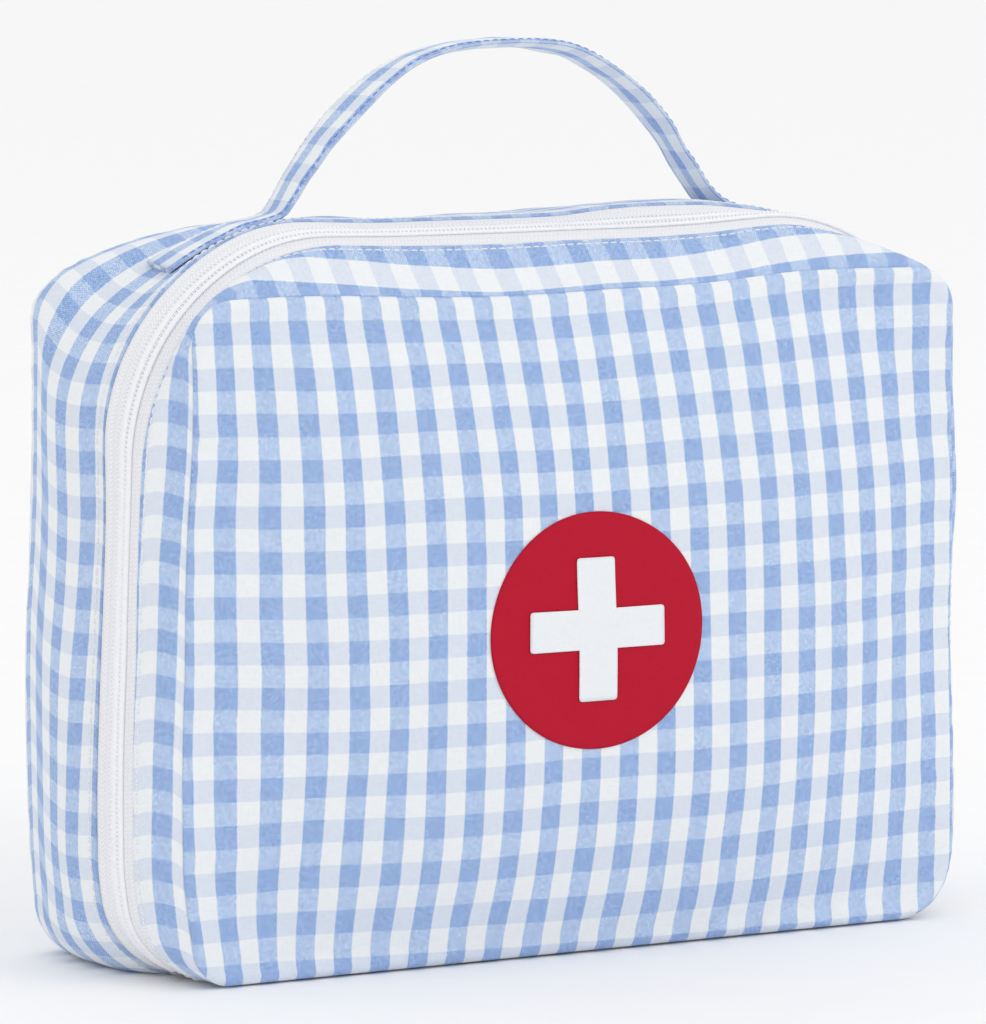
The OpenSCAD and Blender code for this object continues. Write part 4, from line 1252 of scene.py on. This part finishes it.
middle = (emblemShape["x"], emblemShape["z"])
filmPiece("emblemDisc", discEdge(), emblemShape["discRings"], middle, emblemShape["discLift"], printRed,
          "emblem_disc")
middle = [at + shift for at, shift in zip(middle, emblemShape["crossShift"])]
filmPiece("emblemCross", crossEdge(), emblemShape["crossRings"], middle, emblemShape["crossLift"], printWhite,
          "emblem_cross")
print("emblem made")

# inside: linings and bindings
insideShape = {
    "frontLining": [(5.6, -4.4), (6.4, -3.4), (9.3, -2.2)],
    "rearLining": [(21.7, -4.1), (24, -4.3), (35, -4.4), (52, -4.4), (60.0, -4.6)],
    "baseLining": [(17.6, -3.9), (40, -4.1), (60, -4.1)],
    "frontBinding": [(5.0, -3.4), (5.0, -4.6), (7.0, -5.0), (9.4, -4.4), (9.6, -3.2)],
    "backBinding": [(59.4, -4.4), (57.4, -5.4), (55.4, -5.0), (55.2, -4.2)],
    "liningThick": 0.35, "bindingThick": 0.4, "uneven": 0.25,
    "panelInset": 3.8, "rearRun": (40, 4.4),  # depth and inset where the rear lining's length is taken
}


def innerStrip(name, part, step, node, body):
    # linings follow the hoop, and bindings go all the way round
    binding = part.endswith("Binding")
    finish, kind = (bindingWhite, "binding") if binding else (liningWhite, "lining")
    points, line = stripRows(insideShape[part], step, binding)
    run = runOf(points[0])[None, :]
    push = ripple(run / 8, points[..., 1] / 9, 0, 81)
    points = points + insideShape["uneven"] * np.stack([push] * 3, axis=-1) * [1, 0, 1]
    uv = np.stack(np.broadcast_arrays(runOf(line)[:, None], run), axis=-1) / columnPitch
    piece = clothPiece(name, slump(points), uv, insideShape[kind + "Thick"], finish, closed=binding,
                       side=outerSide(points, binding))
    return standsFor(piece, kind, body, node)


def panelLining(name, shape, swell, seed, node, body):
    inset = insideShape["panelInset"]
    piece = makePanel(name, liningWhite, shape, swell, seed, inset, inset, insideShape["liningThick"])
    standsFor(piece, "lining", body, node)


innerStrip("frontGussetLining", "frontLining", 0.8, "front_gusset_lining", "front_shell")
rearLining = innerStrip("rearLining", "rearLining", 2.0, "rear_gusset_lining", "rear_shell")
runOf(hoop(*insideShape["rearRun"]))[-1]
innerStrip("frontSeamBinding", "frontBinding", 0.6, "front_seam_binding", "front_shell")
innerStrip("backSeamBinding", "backBinding", 0.6, "back_seam_binding", "rear_shell")
panelLining("frontLining", panelShape, frontSwell, 91, "front_panel_lining", "front_shell")
panelLining("backLining", backShape, backSwell, 92, "back_panel_lining", "rear_shell")
baseLining = bottomStrip("baseLining", insideShape["baseLining"], 2.0, liningWhite,
                         insideShape["liningThick"], 93, 0.0)
standsFor(baseLining, "lining", "rear_shell", "base_lining")
print("inside made")

# the hard parts keep their CAD shapes
for node, finish in (("slider_body", sliderEnamel), ("pull_tab", sliderEnamel),
                     ("rear_zip_stops", stopMetal), ("front_zip_stop", stopMetal)):
    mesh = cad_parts[node].data
    mesh.materials.clear()
    mesh.materials.append(finish)

# floor, light and camera
floorFinish = Finish("paleFloor", Roughness=0.9)
floorGrain = floorFinish.noise(floorFinish.surface(), 60.0, 3.0)
floorFinish.put(Base_Color=floorFinish.mix(floorGrain, paint(249, 249, 250), paint(253, 253, 253)))
floorMesh = bpy.data.meshes.new("floor")
floorSize = 40.0
floorMesh.from_pydata([(-floorSize, -floorSize, 0), (floorSize, -floorSize, 0), (floorSize, floorSize, 0),
                       (-floorSize, floorSize, 0)], [], [(0, 1, 2, 3)])
floorMesh.materials.append(floorFinish.material)
placed("floor", floorMesh)

studio = {"sky": 0.96, "key": 6, "fill": 0.3}
world = bpy.data.worlds.new("studio")
world.use_nodes = True
world.node_tree.nodes["Background"].inputs["Color"].default_value = (1.0, 1.0, 1.0, 1.0)
world.node_tree.nodes["Background"].inputs["Strength"].default_value = studio["sky"]
bpy.context.scene.world = world
bpy.context.scene.view_settings.view_transform = "Standard"


def aim(thing, place, looking):
    thing.location = place
    thing.rotation_euler = looking.to_track_quat("-Z", "Y").to_euler()


def softLight(name, place, target, size, power):
    lamp = bpy.data.lights.new(name, "AREA")
    lamp.size, lamp.energy = size, power
    aim(placed(name, lamp), place, Vector(target) - Vector(place))


softLight("keyLight", (0.9, -1.6, 1.7), (0, 0, 0.09), 1.2, studio["key"])
softLight("fillLight", (-1.6, -1.0, 0.9), (0, 0, 0.09), 1.4, studio["fill"])

cameraShape = {"place": (-0.7088, -1.3199, 0.2794), "azimuth": -28.0, "elevation": 6.66, "lens": 217.9}
camera = bpy.data.cameras.new("camera")
camera.sensor_width, camera.lens = 36, cameraShape["lens"]
camera.clip_start, camera.clip_end = 0.05, 50
cameraObject = placed("camera", camera)
a, e = math.radians(cameraShape["azimuth"]), math.radians(cameraShape["elevation"])
aim(cameraObject, cameraShape["place"],
    Vector((-math.sin(a) * math.cos(e), math.cos(a) * math.cos(e), -math.sin(e))))
bpy.context.scene.camera = cameraObject
print("floor, light and camera made")
